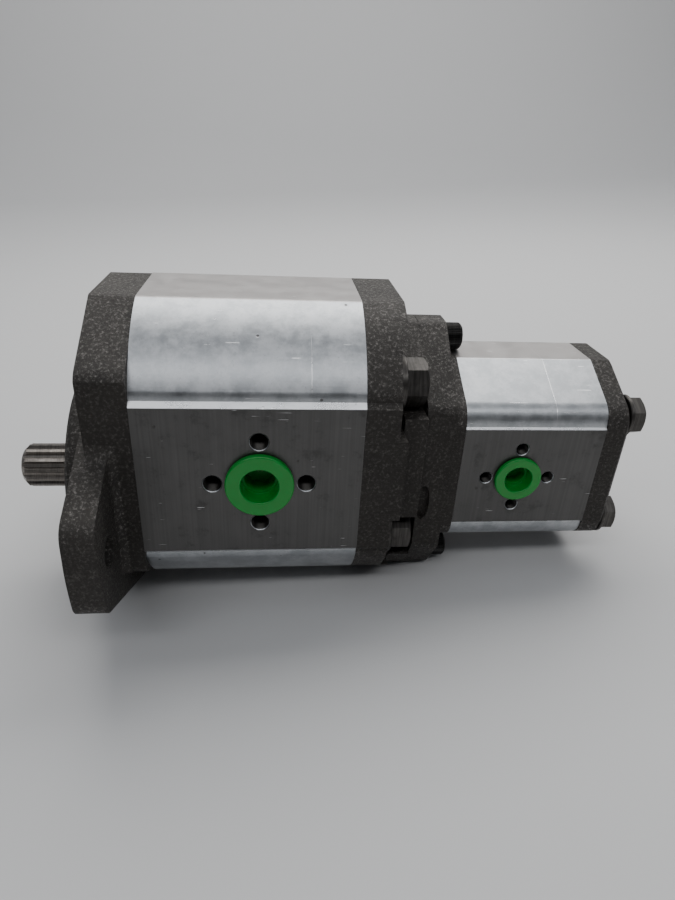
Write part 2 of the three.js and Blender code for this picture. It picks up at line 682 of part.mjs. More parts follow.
function frontDriveGearShaft() {
  const { tipRadius } = DRIVE_SPLINE;
  const sealEndX = PILOT_X + 1;
  const spline = plate(splineOutline(DRIVE_SPLINE), SHAFT_TIP_X, sealEndX).intersect(turned([
    [SHAFT_TIP_X, 0],
    [SHAFT_TIP_X, tipRadius - SPLINE_CHAMFER],
    [SHAFT_TIP_X + SPLINE_CHAMFER, tipRadius + 0.1],
    [sealEndX, tipRadius + 0.1],
    [sealEndX, 0],
  ]));
  const centreHole = turned([
    [SHAFT_TIP_X - 1, 0],
    [SHAFT_TIP_X - 1, CENTRE_HOLE.mouth],
    [SHAFT_TIP_X + CENTRE_HOLE.taperDepth, CENTRE_HOLE.radius],
    [SHAFT_TIP_X + CENTRE_HOLE.depth, CENTRE_HOLE.radius],
    [SHAFT_TIP_X + CENTRE_HOLE.depth, 0],
  ], 0, 0, 12);
  const journalEndX = MID_COVER_X - BLOCK_GAP;
  return joinAll([
    spline,
    rod(FRONT.journalRadius, sealEndX - 0.5, journalEndX),
    gear(FRONT, 0, 0),
    plate(splineOutline(INNER_SPLINE), journalEndX - 1, FRONT_STUB_END_X),
  ]).subtract(centreHole);
}

function rearDriveGearShaft() {
  return joinAll([
    plate(splineOutline(INNER_SPLINE), REAR_STUB_START_X, REAR_STUB_SHOULDER_X + 1),
    rod(REAR.journalRadius, REAR_STUB_SHOULDER_X, END_COVER_X - SHAFT_GAP),
    gear(REAR, 0, 0),
  ]);
}

// The idler gear is turned by half a tooth so that it meshes with the drive gear below it.
function idlerGearShaft(pump) {
  const halfTooth = Math.PI / GEAR_TEETH;
  const startX = pump.startX + SHAFT_GAP;
  const shaft = rod(pump.journalRadius, startX, pump.endX - SHAFT_GAP, 0, pump.centreDistance);
  return shaft.add(gear(pump, pump.centreDistance, halfTooth));
}

function couplingSleeve() {
  const { startX, endX, radius } = SLEEVE;
  const hole = plate(splineOutline(INNER_SPLINE, FIT), startX - 1, endX + 1);
  return rod(radius, startX, endX).subtract(hole);
}

// The x range of the bearing block in front of the gears or behind them.
function bearingRange(pump, place) {
  return place === "fore"
    ? [pump.startX + BLOCK_GAP, pump.gearStartX - FIT]
    : [pump.gearEndX + FIT, pump.endX - BLOCK_GAP];
}

// A bearing block fills the gear chamber and has two relief pockets beside the gear mesh.
function bearingBlock(pump, place) {
  const [fromX, toX] = bearingRange(pump, place);
  const gearSideX = place === "fore" ? toX : fromX;
  const holes = [0, pump.centreDistance].map((z) => (
    rod(pump.bushRadius + FIT, fromX - 1, toX + 1, 0, z)
  ));
  const middleZ = pump.centreDistance / 2;
  const reliefs = [-1, 1].map((side) => {
    const innerY = side * RELIEF.inner * pump.centreDistance;
    const outerY = side * RELIEF.outer * pump.centreDistance;
    const across = [Math.min(innerY, outerY), Math.max(innerY, outerY)];
    const along = [gearSideX - RELIEF.depth, gearSideX + RELIEF.depth];
    return block(along, across, [middleZ - RELIEF.halfHeight, middleZ + RELIEF.halfHeight]);
  });
  const filling = plate(figureEight(pump.boreRadius - FIT, pump.centreDistance), fromX, toX, 10);
  return cutAll(filling, [...holes, ...reliefs]);
}

function bush(pump, place, z) {
  const [fromX, toX] = bearingRange(pump, place);
  const size = {
    startX: fromX + BUSH_INSET,
    thickness: toX - fromX - 2 * BUSH_INSET,
    hole: pump.journalRadius + FIT,
    radius: pump.bushRadius,
  };
  return tube(size, 0, z, 20);
}

// ---- Seals, pins and plugs ------------------------------------------------------------------

// The figure-eight band round the gear chamber that holds a seal. Slack makes it the groove.
function sealBand(pump, fromX, toX, slack = 0) {
  const outer = figureEight(pump.boreRadius + BODY_SEAL.outer + slack, pump.centreDistance);
  const inner = figureEight(pump.boreRadius + BODY_SEAL.inner - slack, pump.centreDistance);
  return plate(outer, fromX, toX, 5).subtract(plate(inner, fromX - 1, toX + 1, 5));
}

function shaftSeal() {
  const { wall, face, lipHeight, lipStart, lipEnd } = SHAFT_SEAL;
  const startX = RING_GROOVE.endX + FIT;
  const endX = SEAL_RECESS.endX - 0.4;
  const outer = SEAL_RECESS.radius - FIT;
  const lip = FRONT.journalRadius + 0.4;
  return turned([
    [startX, lip + lipHeight],
    [startX, outer],
    [endX, outer],
    [endX, outer - wall],
    [startX + face, outer - wall],
    [startX + face, lip + lipHeight],
    [startX + lipEnd, lip],
    [startX + lipStart, lip],
    [startX, lip + lipHeight],
  ]);
}

// A spring ring, open at the bottom, that keeps the shaft seal in.
function sealRetainingRing() {
  const { width, sideGap, halfOpening } = RETAINING_RING;
  const outer = RING_GROOVE.radius - FIT;
  const start = -Math.PI / 2 + halfOpening;
  const end = 1.5 * Math.PI - halfOpening;
  const ring = new THREE.Shape();
  ring.absarc(0, 0, outer, start, end);
  ring.absarc(0, 0, outer - width, end, start, true);
  return plate(ring, RING_GROOVE.startX + sideGap, RING_GROOVE.endX - sideGap, 10);
}

function portPlug(pump, plug, side) {
  const { ringRadius, cupRadius, innerRadius, proud, depth } = plug;
  const wall = cupRadius - innerRadius;
  const stepDepth = depth / 2;
  const profile = [
    [-depth, 0],
    [-depth, cupRadius],
    [FIT, cupRadius],
    [FIT, ringRadius],
    [proud - PLUG_RIM, ringRadius],
    [proud, ringRadius - PLUG_RIM],
    [proud, innerRadius],
    [-stepDepth, innerRadius],
    [-stepDepth, innerRadius - wall],
    [-depth + PLUG_FLOOR, innerRadius - wall],
    [-depth + PLUG_FLOOR, 0],
  ];
  const middleZ = pump.centreDistance / 2;
  return turnedOut(profile, side, pump.portX, side * pump.halfWidth, middleZ, 16);
}

// ---- Fasteners ------------------------------------------------------------------------------

function hexBolt({ tipX, headX, headHeight, shankRadius, acrossFlats }, y, z, turn) {
  const head = plate(hexagon(acrossFlats, y, z, turn), headX, headX + headHeight);
  return head.add(rod(shankRadius, tipX, headX + 1, y, z, 12));
}

function capScrew([y, z]) {
  const { tipX, headX, headHeight, shankRadius, headRadius, socket } = CAP_SCREW;
  const endX = headX + headHeight;
  const body = turned([
    [tipX, 0],
    [tipX, shankRadius],
    [headX, shankRadius],
    [headX, headRadius],
    [endX - 0.6, headRadius],
    [endX, headRadius - 0.6],
    [endX, 0],
  ], y, z, 16);
  return body.subtract(plate(hexagon(socket, y, z), endX - headHeight / 2, endX + 1));
}

// ---- Assembly -------------------------------------------------------------------------------

const assembly = new THREE.Group();

function add(name, shape, finish) {
  const material = new THREE.MeshStandardMaterial({ ...FINISHES[finish], flatShading: true });
  const mesh = new THREE.Mesh(geometryOf(shape), material);
  mesh.name = name;
  assembly.add(mesh);
}

const CORNERS = ["upper_near", "upper_far", "lower_near", "lower_far"];

function addBearings(pumpName, pump) {
  for (const place of ["fore", "aft"]) {
    add(`${pumpName}_bearing_block_${place}`, bearingBlock(pump, place), "aluminium");
    add(`${pumpName}_drive_bush_${place}`, bush(pump, place, 0), "bronze");
    add(`${pumpName}_idler_bush_${place}`, bush(pump, place, pump.centreDistance), "bronze");
  }
  const { inset, thickness } = BODY_SEAL;
  const foreX = pump.startX + SEAM + inset;
  const aftX = pump.endX - inset;
  add(`${pumpName}_body_seal_fore`, sealBand(pump, foreX, foreX + thickness), "rubber");
  add(`${pumpName}_body_seal_aft`, sealBand(pump, aftX - thickness, aftX), "rubber");
}

function addBolts(pumpName, pump, bolt, washer, turns) {
  boltPlaces(pump).forEach(([y, z], index) => {
    add(`${pumpName}_bolt_${CORNERS[index]}`, hexBolt(bolt, y, z, turns[index]), "darkSteel");
    add(`${pumpName}_washer_${CORNERS[index]}`, tube(washer, y, z), "darkSteel");
  });
}

function addPlugs(pumpName, pump, plug) {
  add(`${pumpName}_port_plug_near`, portPlug(pump, plug, -1), "plugPlastic");
  add(`${pumpName}_port_plug_far`, portPlug(pump, plug, 1), "plugPlastic");
}

add("front_cover", frontCover(), "castIron");
add("shaft_seal", shaftSeal(), "rubber");
add("seal_retaining_ring", sealRetainingRing(), "darkSteel");
const dowelHoles = [-1, 1].map((side) => dowelHole(side, FRONT_BODY_X - 1, DOWEL.endX + 0.5));
add("front_body", cutAll(pumpBody(FRONT, frontBodyOutline()), dowelHoles), "aluminium");
add("dowel_near", rod(DOWEL.radius, DOWEL.startX, DOWEL.endX, -DOWEL.y, FRONT_MIDDLE_Z, 12), "steel");
add("dowel_far", rod(DOWEL.radius, DOWEL.startX, DOWEL.endX, DOWEL.y, FRONT_MIDDLE_Z, 12), "steel");
add("front_drive_gear_shaft", frontDriveGearShaft(), "steel");
add("front_idler_gear_shaft", idlerGearShaft(FRONT), "steel");
addBearings("front", FRONT);
add("mid_cover", midCover(), "castIron");
addBolts("front", FRONT, FRONT_BOLT, FRONT_WASHER, FRONT_HEAD_TURNS);
addPlugs("front", FRONT, FRONT_PLUG);

add("adapter_plate", adapterPlate(), "castIron");
add("coupling_sleeve", couplingSleeve(), "steel");
add("rear_pump_cover", rearPumpCover(), "castIron");
for (const [place, centre] of Object.entries(CAP_SCREW_PLACES)) {
  add(`cap_screw_${place}`, capScrew(centre), "blackSteel");
  add(`cap_washer_${place}`, tube(CAP_WASHER, ...centre), "blackSteel");
}

add("rear_body", pumpBody(REAR, rearBodyOutline()), "aluminium");
add("rear_drive_gear_shaft", rearDriveGearShaft(), "steel");
add("rear_idler_gear_shaft", idlerGearShaft(REAR), "steel");
addBearings("rear", REAR);
add("rear_end_cover", rearEndCover(), "castIron");
addBolts("rear", REAR, REAR_BOLT, REAR_WASHER, REAR_HEAD_TURNS);
addPlugs("rear", REAR, REAR_PLUG);

const rearEndX = REAR_BOLT.headX + REAR_BOLT.headHeight;
assembly.position.set(-(SHAFT_TIP_X + rearEndX) / 2, 0, FLANGE_RADIUS);

const pump = new THREE.Group();
pump.add(assembly);

export default pump;
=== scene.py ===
"""Tandem hydraulic gear pump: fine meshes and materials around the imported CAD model."""
import json
import math

import bmesh
import bpy
from mathutils import Matrix, Vector


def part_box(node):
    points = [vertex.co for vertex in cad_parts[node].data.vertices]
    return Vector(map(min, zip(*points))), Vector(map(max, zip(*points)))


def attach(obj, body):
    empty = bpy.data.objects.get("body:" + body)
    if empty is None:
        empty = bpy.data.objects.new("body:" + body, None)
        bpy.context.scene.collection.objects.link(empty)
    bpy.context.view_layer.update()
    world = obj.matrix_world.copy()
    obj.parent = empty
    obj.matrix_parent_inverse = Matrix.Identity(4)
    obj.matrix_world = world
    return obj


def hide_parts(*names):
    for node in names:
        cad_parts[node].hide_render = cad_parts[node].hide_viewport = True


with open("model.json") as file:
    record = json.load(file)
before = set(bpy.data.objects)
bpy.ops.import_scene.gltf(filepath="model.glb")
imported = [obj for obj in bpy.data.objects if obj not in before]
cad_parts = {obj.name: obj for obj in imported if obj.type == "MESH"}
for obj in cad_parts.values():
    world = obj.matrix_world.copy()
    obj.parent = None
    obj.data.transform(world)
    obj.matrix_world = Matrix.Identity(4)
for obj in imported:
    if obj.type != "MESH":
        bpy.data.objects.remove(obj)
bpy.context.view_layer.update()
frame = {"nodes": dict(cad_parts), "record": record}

RECORD = frame["record"]
MM = 0.001

# ---- Places, from the frame -----------------------------------------------------------------
# Pump coordinates are millimetres: x from the front cover's front face to the rear, y to the
# far side, z up from the drive shaft's axis.

PILOT_HEIGHT = 13.6
JOINT_PLACES = {joint["name"]: joint.get("pos_m") for joint in RECORD["behaviour"]["joints"]}
SHAFT_Z = JOINT_PLACES["drive_shaft_spin"][2]
FACE_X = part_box("front_cover")[0][0] + PILOT_HEIGHT * MM


def stations(node):
    """A CAD node's first and last x, in pump coordinates."""
    low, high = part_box(node)
    return (low[0] - FACE_X) / MM, (high[0] - FACE_X) / MM


def middle(node):
    """The middle of a CAD node's box, in pump coordinates."""
    low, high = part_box(node)
    centre = [(a + b) / 2 for a, b in zip(low, high)]
    return (centre[0] - FACE_X) / MM, centre[1] / MM, (centre[2] - SHAFT_Z) / MM


def to_row(x, y, z):
    return Vector((FACE_X + x * MM, y * MM, SHAFT_Z + z * MM))


FRONT_MIDDLE_Z = (JOINT_PLACES["front_idler_spin"][2] - SHAFT_Z) / MM / 2
REAR_MIDDLE_Z = (JOINT_PLACES["rear_idler_spin"][2] - SHAFT_Z) / MM / 2

# ---- Sizes of the fine pieces, in millimetres -----------------------------------------------

EAR_X = -4
EAR_BACK_X = 9
FLANGE_RADIUS = 57.6
PILOT_RADIUS = 50.8
EAR_REACH = 90.2
EAR_BOLT_Y = 73
EAR_BOLT_RADIUS = 7.15
EAR_CORNER = {"inset": 1.8, "z": 20.8, "radius": 10}
# Where an ear's flank touches the flange's disc, as shares of the disc's radius.
FLANK_TOUCH = {"y": 0.441, "z": 0.8975}
PILOT_CHAMFER = 1.2
SEAL_RECESS = {"radius": 20.3, "end_x": -3.6}
RING_GROOVE = {"radius": 21.3, "start_x": -12.7, "end_x": -11}
SHAFT_BORE_RADIUS = 15
EAR_ROOT = {"flank_radius": 10, "back_radius": 4.2, "corner_z": 36.2, "top_z": 44, "outer_y": 66,
            "outer_top_z": 31.8, "outer_bottom_z": -18.5, "inner_bottom_z": -25.3, "inset": 2}
MID_RIM_X = 129.5
REAR_FLANGE_BACK_X = 157.5
END_COVER_EDGE = 2
CASTING_EDGE = 0.7

# Sections of the covers and bodies. A slope is in degrees.
FRONT_COVER = {"half_width": 57, "half_height": 70.05, "flat": 20.5, "slope": 32, "corner": 12}
REAR_SECTION = {"half_width": 42.7, "half_height": 48.45, "flat": 12.7, "slope": 28, "corner": 12}
BODY_ARC_RADIUS = 62
BODY_ARC_OFFSET = 11.85
BODY_HALF_HEIGHT = 70.15
FRONT_FACE_HALF_HEIGHT = 34.9
REAR_FACE_HALF_HEIGHT = 25
FRONT_HALF_WIDTH = 57.65
REAR_HALF_WIDTH = 42.7
MILLED_OFF = 1.5
FRONT_CHAMBER_RADIUS = 27.4
REAR_CHAMBER_RADIUS = 19.8
FRONT_BOLT_HOLE = 6.3
REAR_BOLT_HOLE = 5.3
CAP_SCREW_HOLE = 4.4

# Corners (y, z, radius) of the lobed outline shared by the adapter and the rear flange.
LOBE_BOTTOM = (26, -46, 8)
LOBE_LOWER_SHOULDER = {"z": -22, "radius": 7}
LOBE_UPPER_SHOULDER = {"z": 51.8, "radius": 5}
LOBE_TOP = (6.5, 80.3, 5)

# Step beside each port face: how far the face stands proud, and the height of its slope.
FRONT_LEDGE = {"depth": 2.2, "rise": 2.3}
REAR_LEDGE = {"depth": 1, "rise": 1}

# Splines and gears of the drive shaft.
DRIVE_SPLINE = {"teeth": 13, "root": 9.2, "tip": 10.9}
INNER_SPLINE = {"teeth": 9, "root": 6.4, "tip": 7.6}
FRONT_GEAR = {"teeth": 12, "tip": 26.9, "start": 45.8, "end": 88, "backlash": 0.45, "dedendum": 1.25}
PRESSURE_ANGLE = math.radians(25)
JOURNAL_RADIUS = 12.5
SPLINE_CHAMFER = 2.4

# Fasteners. A head's turn is in degrees.
HEX_BOLTS = {
    "front": {"across_flats": 19, "shank_radius": 5.85, "head_height": 9.6, "washer_hole": 6.4},
    "rear": {"across_flats": 16, "shank_radius": 4.9, "head_height": 6.4, "washer_hole": 5.3},
}
HEAD_TURNS = {"front_bolt_upper_near": -20, "front_bolt_upper_far": 20}
CAP_SCREW = {"head_height": 8, "head_radius": 6.5, "shank_radius": 4, "socket": 6, "socket_depth": 4}
KNURL = {"flutes": 44, "depth": 0.28}

# The adapter and the rear flange, with the room round the bolt heads.
ADAPTER_HALF_WIDTH = 47
REAR_FLANGE_HALF_WIDTH = 43.6
SPOTFACE_RADIUS = 18.5
HEAD_POCKET_RADIUS = 12.8
COUPLING_BORE_RADIUS = 14
PRY_SLOT = {"x": 147, "z": 3.4, "radius": 3, "stretch": 3.15}

# Port plugs, ports and their tapped holes.
FRONT_PORT = {"bore": 9.75, "ring": 20, "thread": 4, "pitch": 1.25, "depth": 15}
REAR_PORT = {"bore": 7.6, "ring": 15, "thread": 3, "pitch": 1, "depth": 12}
FRONT_PLUG = {"ring": 14.75, "cup": 9.2, "hole": 8.15, "proud": 3, "depth": 14}
REAR_PLUG = {"ring": 11.15, "cup": 7.2, "hole": 6.5, "proud": 2.5, "depth": 10}

# A long upright nick on each body's shoulder: its x in the row's frame, in millimetres.
FRONT_NICK_X = -9
REAR_NICK_X = 104

# Camera: its place in pump coordinates, its lens in millimetres and its angles in degrees.
CAMERA = {"place": (76.73, -285.81, 162.84), "lens": 24.8, "sensor": 36}
CAMERA_ANGLES = {"heading": -6.637, "down": 28.217, "roll": 3.140}

# ---- Outlines in (y, z) ---------------------------------------------------------------------


def arc(centre_y, centre_z, radius, start, end, steps=12):
    """Points on an arc, angles in radians."""
    angles = [start + (end - start) * i / steps for i in range(steps + 1)]
    return [(centre_y + radius * math.cos(a), centre_z + radius * math.sin(a)) for a in angles]


def both_sides(right_half):
    """The right half's corners from bottom to top, with their mirror images on the left."""
    return right_half + [(-y, z, radius) for y, z, radius in reversed(right_half)]


def rounded(corners, steps=8):
    """An anticlockwise polygon of (y, z, radius) corners, each rounded to its radius."""
    points = []
    for index, (y, z, radius) in enumerate(corners):
        corner = Vector((y, z))
        if radius == 0:
            points.append((y, z))
            continue
        back = (Vector(corners[index - 1][:2]) - corner).normalized()
        ahead = (Vector(corners[(index + 1) % len(corners)][:2]) - corner).normalized()
        half_angle = back.angle(ahead) / 2
        centre = corner + (back + ahead).normalized() * radius / math.sin(half_angle)
        setback = radius / math.tan(half_angle)
        start = corner + back * setback - centre
        turn = math.pi - 2 * half_angle
        if back.x * ahead.y - back.y * ahead.x > 0:
            turn = -turn
        angle = math.atan2(start.y, start.x)
        points += arc(centre.x, centre.y, radius, angle, angle + turn, steps)
    return points


def shouldered(section, middle_z):
    """Flat top and bottom, sloping shoulders and vertical sides, mirrored about middle_z."""
    drop = (section["half_width"] - section["flat"]) * math.tan(math.radians(section["slope"]))
    shoulder = section["half_height"] - drop
    return rounded(both_sides([
        (section["flat"], middle_z - section["half_height"], 3),
        (section["half_width"], middle_z - shoulder, section["corner"]),
        (section["half_width"], middle_z + shoulder, section["corner"]),
        (section["flat"], middle_z + section["half_height"], 3),
    ]))


def front_body_outline():
    """Round shoulders, and a port face on each side that stands proud by a small ledge."""
    ledge_y = FRONT_HALF_WIDTH - FRONT_LEDGE["depth"]
    face_angle = math.acos(ledge_y / BODY_ARC_RADIUS)
    top_angle = math.asin((BODY_HALF_HEIGHT - BODY_ARC_OFFSET) / BODY_ARC_RADIUS)
    face = FRONT_FACE_HALF_HEIGHT
    ledge = face + FRONT_LEDGE["rise"]
    points = []
    for side in (1, -1):
        turn = 0 if side > 0 else math.pi
        lower_z = FRONT_MIDDLE_Z - side * BODY_ARC_OFFSET
        upper_z = FRONT_MIDDLE_Z + side * BODY_ARC_OFFSET
        points += arc(0, lower_z, BODY_ARC_RADIUS, turn - top_angle, turn - face_angle, 24)
        points.append((side * ledge_y, FRONT_MIDDLE_Z - side * ledge))
        points.append((side * FRONT_HALF_WIDTH, FRONT_MIDDLE_Z - side * face))
        points.append((side * FRONT_HALF_WIDTH, FRONT_MIDDLE_Z + side * face))
        points.append((side * ledge_y, FRONT_MIDDLE_Z + side * ledge))
        points += arc(0, upper_z, BODY_ARC_RADIUS, turn + face_angle, turn + top_angle, 24)
    return points


def rear_body_outline():
    section = REAR_SECTION
    ledge_y = section["half_width"] - REAR_LEDGE["depth"]
    drop = (ledge_y - section["flat"]) * math.tan(math.radians(section["slope"]))
    shoulder = section["half_height"] - drop
    face = REAR_FACE_HALF_HEIGHT
    ledge = face + REAR_LEDGE["rise"]
    return rounded(both_sides([
        (section["flat"], REAR_MIDDLE_Z - section["half_height"], 2),
        (ledge_y, REAR_MIDDLE_Z - shoulder, section["corner"] - 1),
        (ledge_y, REAR_MIDDLE_Z - ledge, 0),
        (section["half_width"], REAR_MIDDLE_Z - face, 0),
        (section["half_width"], REAR_MIDDLE_Z + face, 0),
        (ledge_y, REAR_MIDDLE_Z + ledge, 0),
        (ledge_y, REAR_MIDDLE_Z + shoulder, section["corner"] - 1),
        (section["flat"], REAR_MIDDLE_Z + section["half_height"], 2),
    ]), steps=12)


def lobed(half_width):
    """One lobe over the top cap screw and two over the lower ones."""
    return rounded(both_sides([
        LOBE_BOTTOM,
        (half_width, LOBE_LOWER_SHOULDER["z"], LOBE_LOWER_SHOULDER["radius"]),
        (half_width, LOBE_UPPER_SHOULDER["z"], LOBE_UPPER_SHOULDER["radius"]),
        LOBE_TOP,
    ]))


def figure_eight(radius, middle_z):
    waist = math.asin(middle_z / radius)
    upper = arc(0, 2 * middle_z, radius, -waist, math.pi + waist, 48)
    return upper + arc(0, 0, radius, math.pi - waist, 2 * math.pi + waist, 48)


def hexagon(across_flats, y, z, turn=0):
    corner = across_flats / 2 / math.cos(math.pi / 6)
    start = math.pi / 6 + math.radians(turn)
    return arc(y, z, corner, start, start + 5 * math.pi / 3, 5)


def spline(teeth):
    """Spline teeth with slightly rounded flanks about the drive shaft's axis."""
    step = 2 * math.pi / teeth["teeth"]
    root, tip = teeth["root"], teeth["tip"]
    middle_radius = (root + tip) / 2
    flank = [
        (root, -0.36),
        (root + 0.15, -0.31),
        (middle_radius, -0.235),
        (tip - 0.1, -0.165),
        (tip, -0.14),
    ]
    flank += [(radius, -offset) for radius, offset in reversed(flank)]
    points = []
    for tooth in range(teeth["teeth"]):
        for radius, offset in flank:
            angle = (tooth + offset) * step
            points.append((radius * math.cos(angle), radius * math.sin(angle)))
    return points


def front_gear():
    """Involute gear teeth about the drive shaft's axis."""
    pitch = FRONT_MIDDLE_Z
    teeth, tip = FRONT_GEAR["teeth"], FRONT_GEAR["tip"]
    base = pitch * math.cos(PRESSURE_ANGLE)
    root = pitch - FRONT_GEAR["dedendum"] * 2 * pitch / teeth
    half_tooth = math.pi / (2 * teeth) - FRONT_GEAR["backlash"] / (2 * pitch)

    def half_angle(radius):
        pressure = math.acos(min(1, base / radius))
        involute = math.tan(PRESSURE_ANGLE) - PRESSURE_ANGLE
        return half_tooth + involute - (math.tan(pressure) - pressure)

    radii = [root, base] + [base + (tip - base) * i / 6 for i in range(1, 7)]
    rising = [(radius, -half_angle(radius)) for radius in radii]
    outline = rising + [(radius, -offset) for radius, offset in reversed(rising)]
    points = []
    for tooth in range(teeth):
        for radius, offset in outline:
            angle = 2 * math.pi * tooth / teeth + offset
            points.append((radius * math.cos(angle), radius * math.sin(angle)))
    return points


# ---- Meshes ---------------------------------------------------------------------------------


def new_object(name, mesh):
    bmesh.ops.recalc_face_normals(mesh, faces=mesh.faces)
    data = bpy.data.meshes.new(name)
    mesh.to_mesh(data)
    mesh.free()
    piece = bpy.data.objects.new(name, data)
    bpy.context.scene.collection.objects.link(piece)
    return piece


def plate(outline, from_x, to_x, end_scale=1, middle_z=0):
    """An outline extruded along X. Its rear end may be scaled about (0, middle_z)."""
    mesh = bmesh.new()
    front = [mesh.verts.new(to_row(from_x, y, z)) for y, z in outline]
    back = []
    for y, z in outline:
        place = to_row(to_x, y * end_scale, middle_z + (z - middle_z) * end_scale)
        back.append(mesh.verts.new(place))
    mesh.faces.new(list(reversed(front)))
    mesh.faces.new(back)
    count = len(outline)
    for i in range(count):
        after = (i + 1) % count
        mesh.faces.new((front[i], front[after], back[after], back[i]))
    return new_object("plate", mesh)


def turned(profile, centre=(0, 0, 0), axis=(1, 0, 0), steps=64, closed=False):
    """A piece turned about an axis. The profile is a list of (height, radius)."""
    along = Vector(axis)
    across = Vector((0, 0, 1))
    beside = along.cross(across)
    mesh = bmesh.new()
    rings = []
    for height, radius in profile:
        base = Vector(centre) + along * height
        if radius == 0:
            rings.append([mesh.verts.new(to_row(*base))] * steps)
            continue
        ring = []
        for i in range(steps):
            angle = 2 * math.pi * i / steps
            point = base + across * (radius * math.cos(angle)) + beside * (radius * math.sin(angle))
            ring.append(mesh.verts.new(to_row(*point)))
        rings.append(ring)
    pairs = list(zip(rings, rings[1:]))
    if closed:
        pairs.append((rings[-1], rings[0]))
    for lower, upper in pairs:
        for i in range(steps):
            after = (i + 1) % steps
            corners = list(dict.fromkeys((lower[i], lower[after], upper[after], upper[i])))
            if len(corners) > 2:
                mesh.faces.new(corners)
    return new_object("turned", mesh)


def rod(radius, from_x, to_x, y=0, z=0, steps=48):
    return turned([(from_x, 0), (from_x, radius), (to_x, radius), (to_x, 0)], (0, y, z), steps=steps)


def block(x, y, z):
    """A box between (low, high) pairs of x, y and z."""
    outline = [(y[0], z[0]), (y[1], z[0]), (y[1], z[1]), (y[0], z[1])]
    return plate(outline, *x)


def apply_modifiers(piece):
    graph = bpy.context.evaluated_depsgraph_get()
    made = bpy.data.meshes.new_from_object(piece.evaluated_get(graph))
    old = piece.data
    piece.modifiers.clear()
    piece.data = made
    bpy.data.meshes.remove(old)


def combine(piece, others, operation):
    """Joins or cuts piece with each of the others, which are used up."""
    for other in others:
        step = piece.modifiers.new(operation, "BOOLEAN")
        step.operation = operation
        step.solver = "EXACT"
        step.object = other
    apply_modifiers(piece)
    for other in others:
        data = other.data
        bpy.data.objects.remove(other)
        bpy.data.meshes.remove(data)
    return piece


def cut(piece, *cutters):
    return combine(piece, cutters, "DIFFERENCE")


def join(piece, *others):
    return combine(piece, others, "UNION")


def soften_edges(piece, width, angle=32, segments=2):
    """Rounds the sharp edges and shades the round surfaces smoothly."""
    bevel = piece.modifiers.new("edges", "BEVEL")
    bevel.width = width * MM
    bevel.segments = segments
    bevel.limit_method = "ANGLE"
    bevel.angle_limit = math.radians(angle)
    bevel.use_clamp_overlap = True
    bevel.harden_normals = False
    apply_modifiers(piece)
    smooth(piece)


def smooth(piece, angle=30):
    piece.data.shade_smooth()
    piece.data.set_sharp_from_angle(angle=math.radians(angle))
    normals = piece.modifiers.new("normals", "WEIGHTED_NORMAL")
    normals.keep_sharp = True


def stand_for(piece, node, body, material):
    """Puts a fine piece in the place of its CAD node."""
    piece.name = f"{node}_fine"
    piece.data.name = piece.name
    piece.data.materials.clear()
    piece.data.materials.append(material)
    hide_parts(node)
    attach(piece, body)


# ---- Materials ------------------------------------------------------------------------------


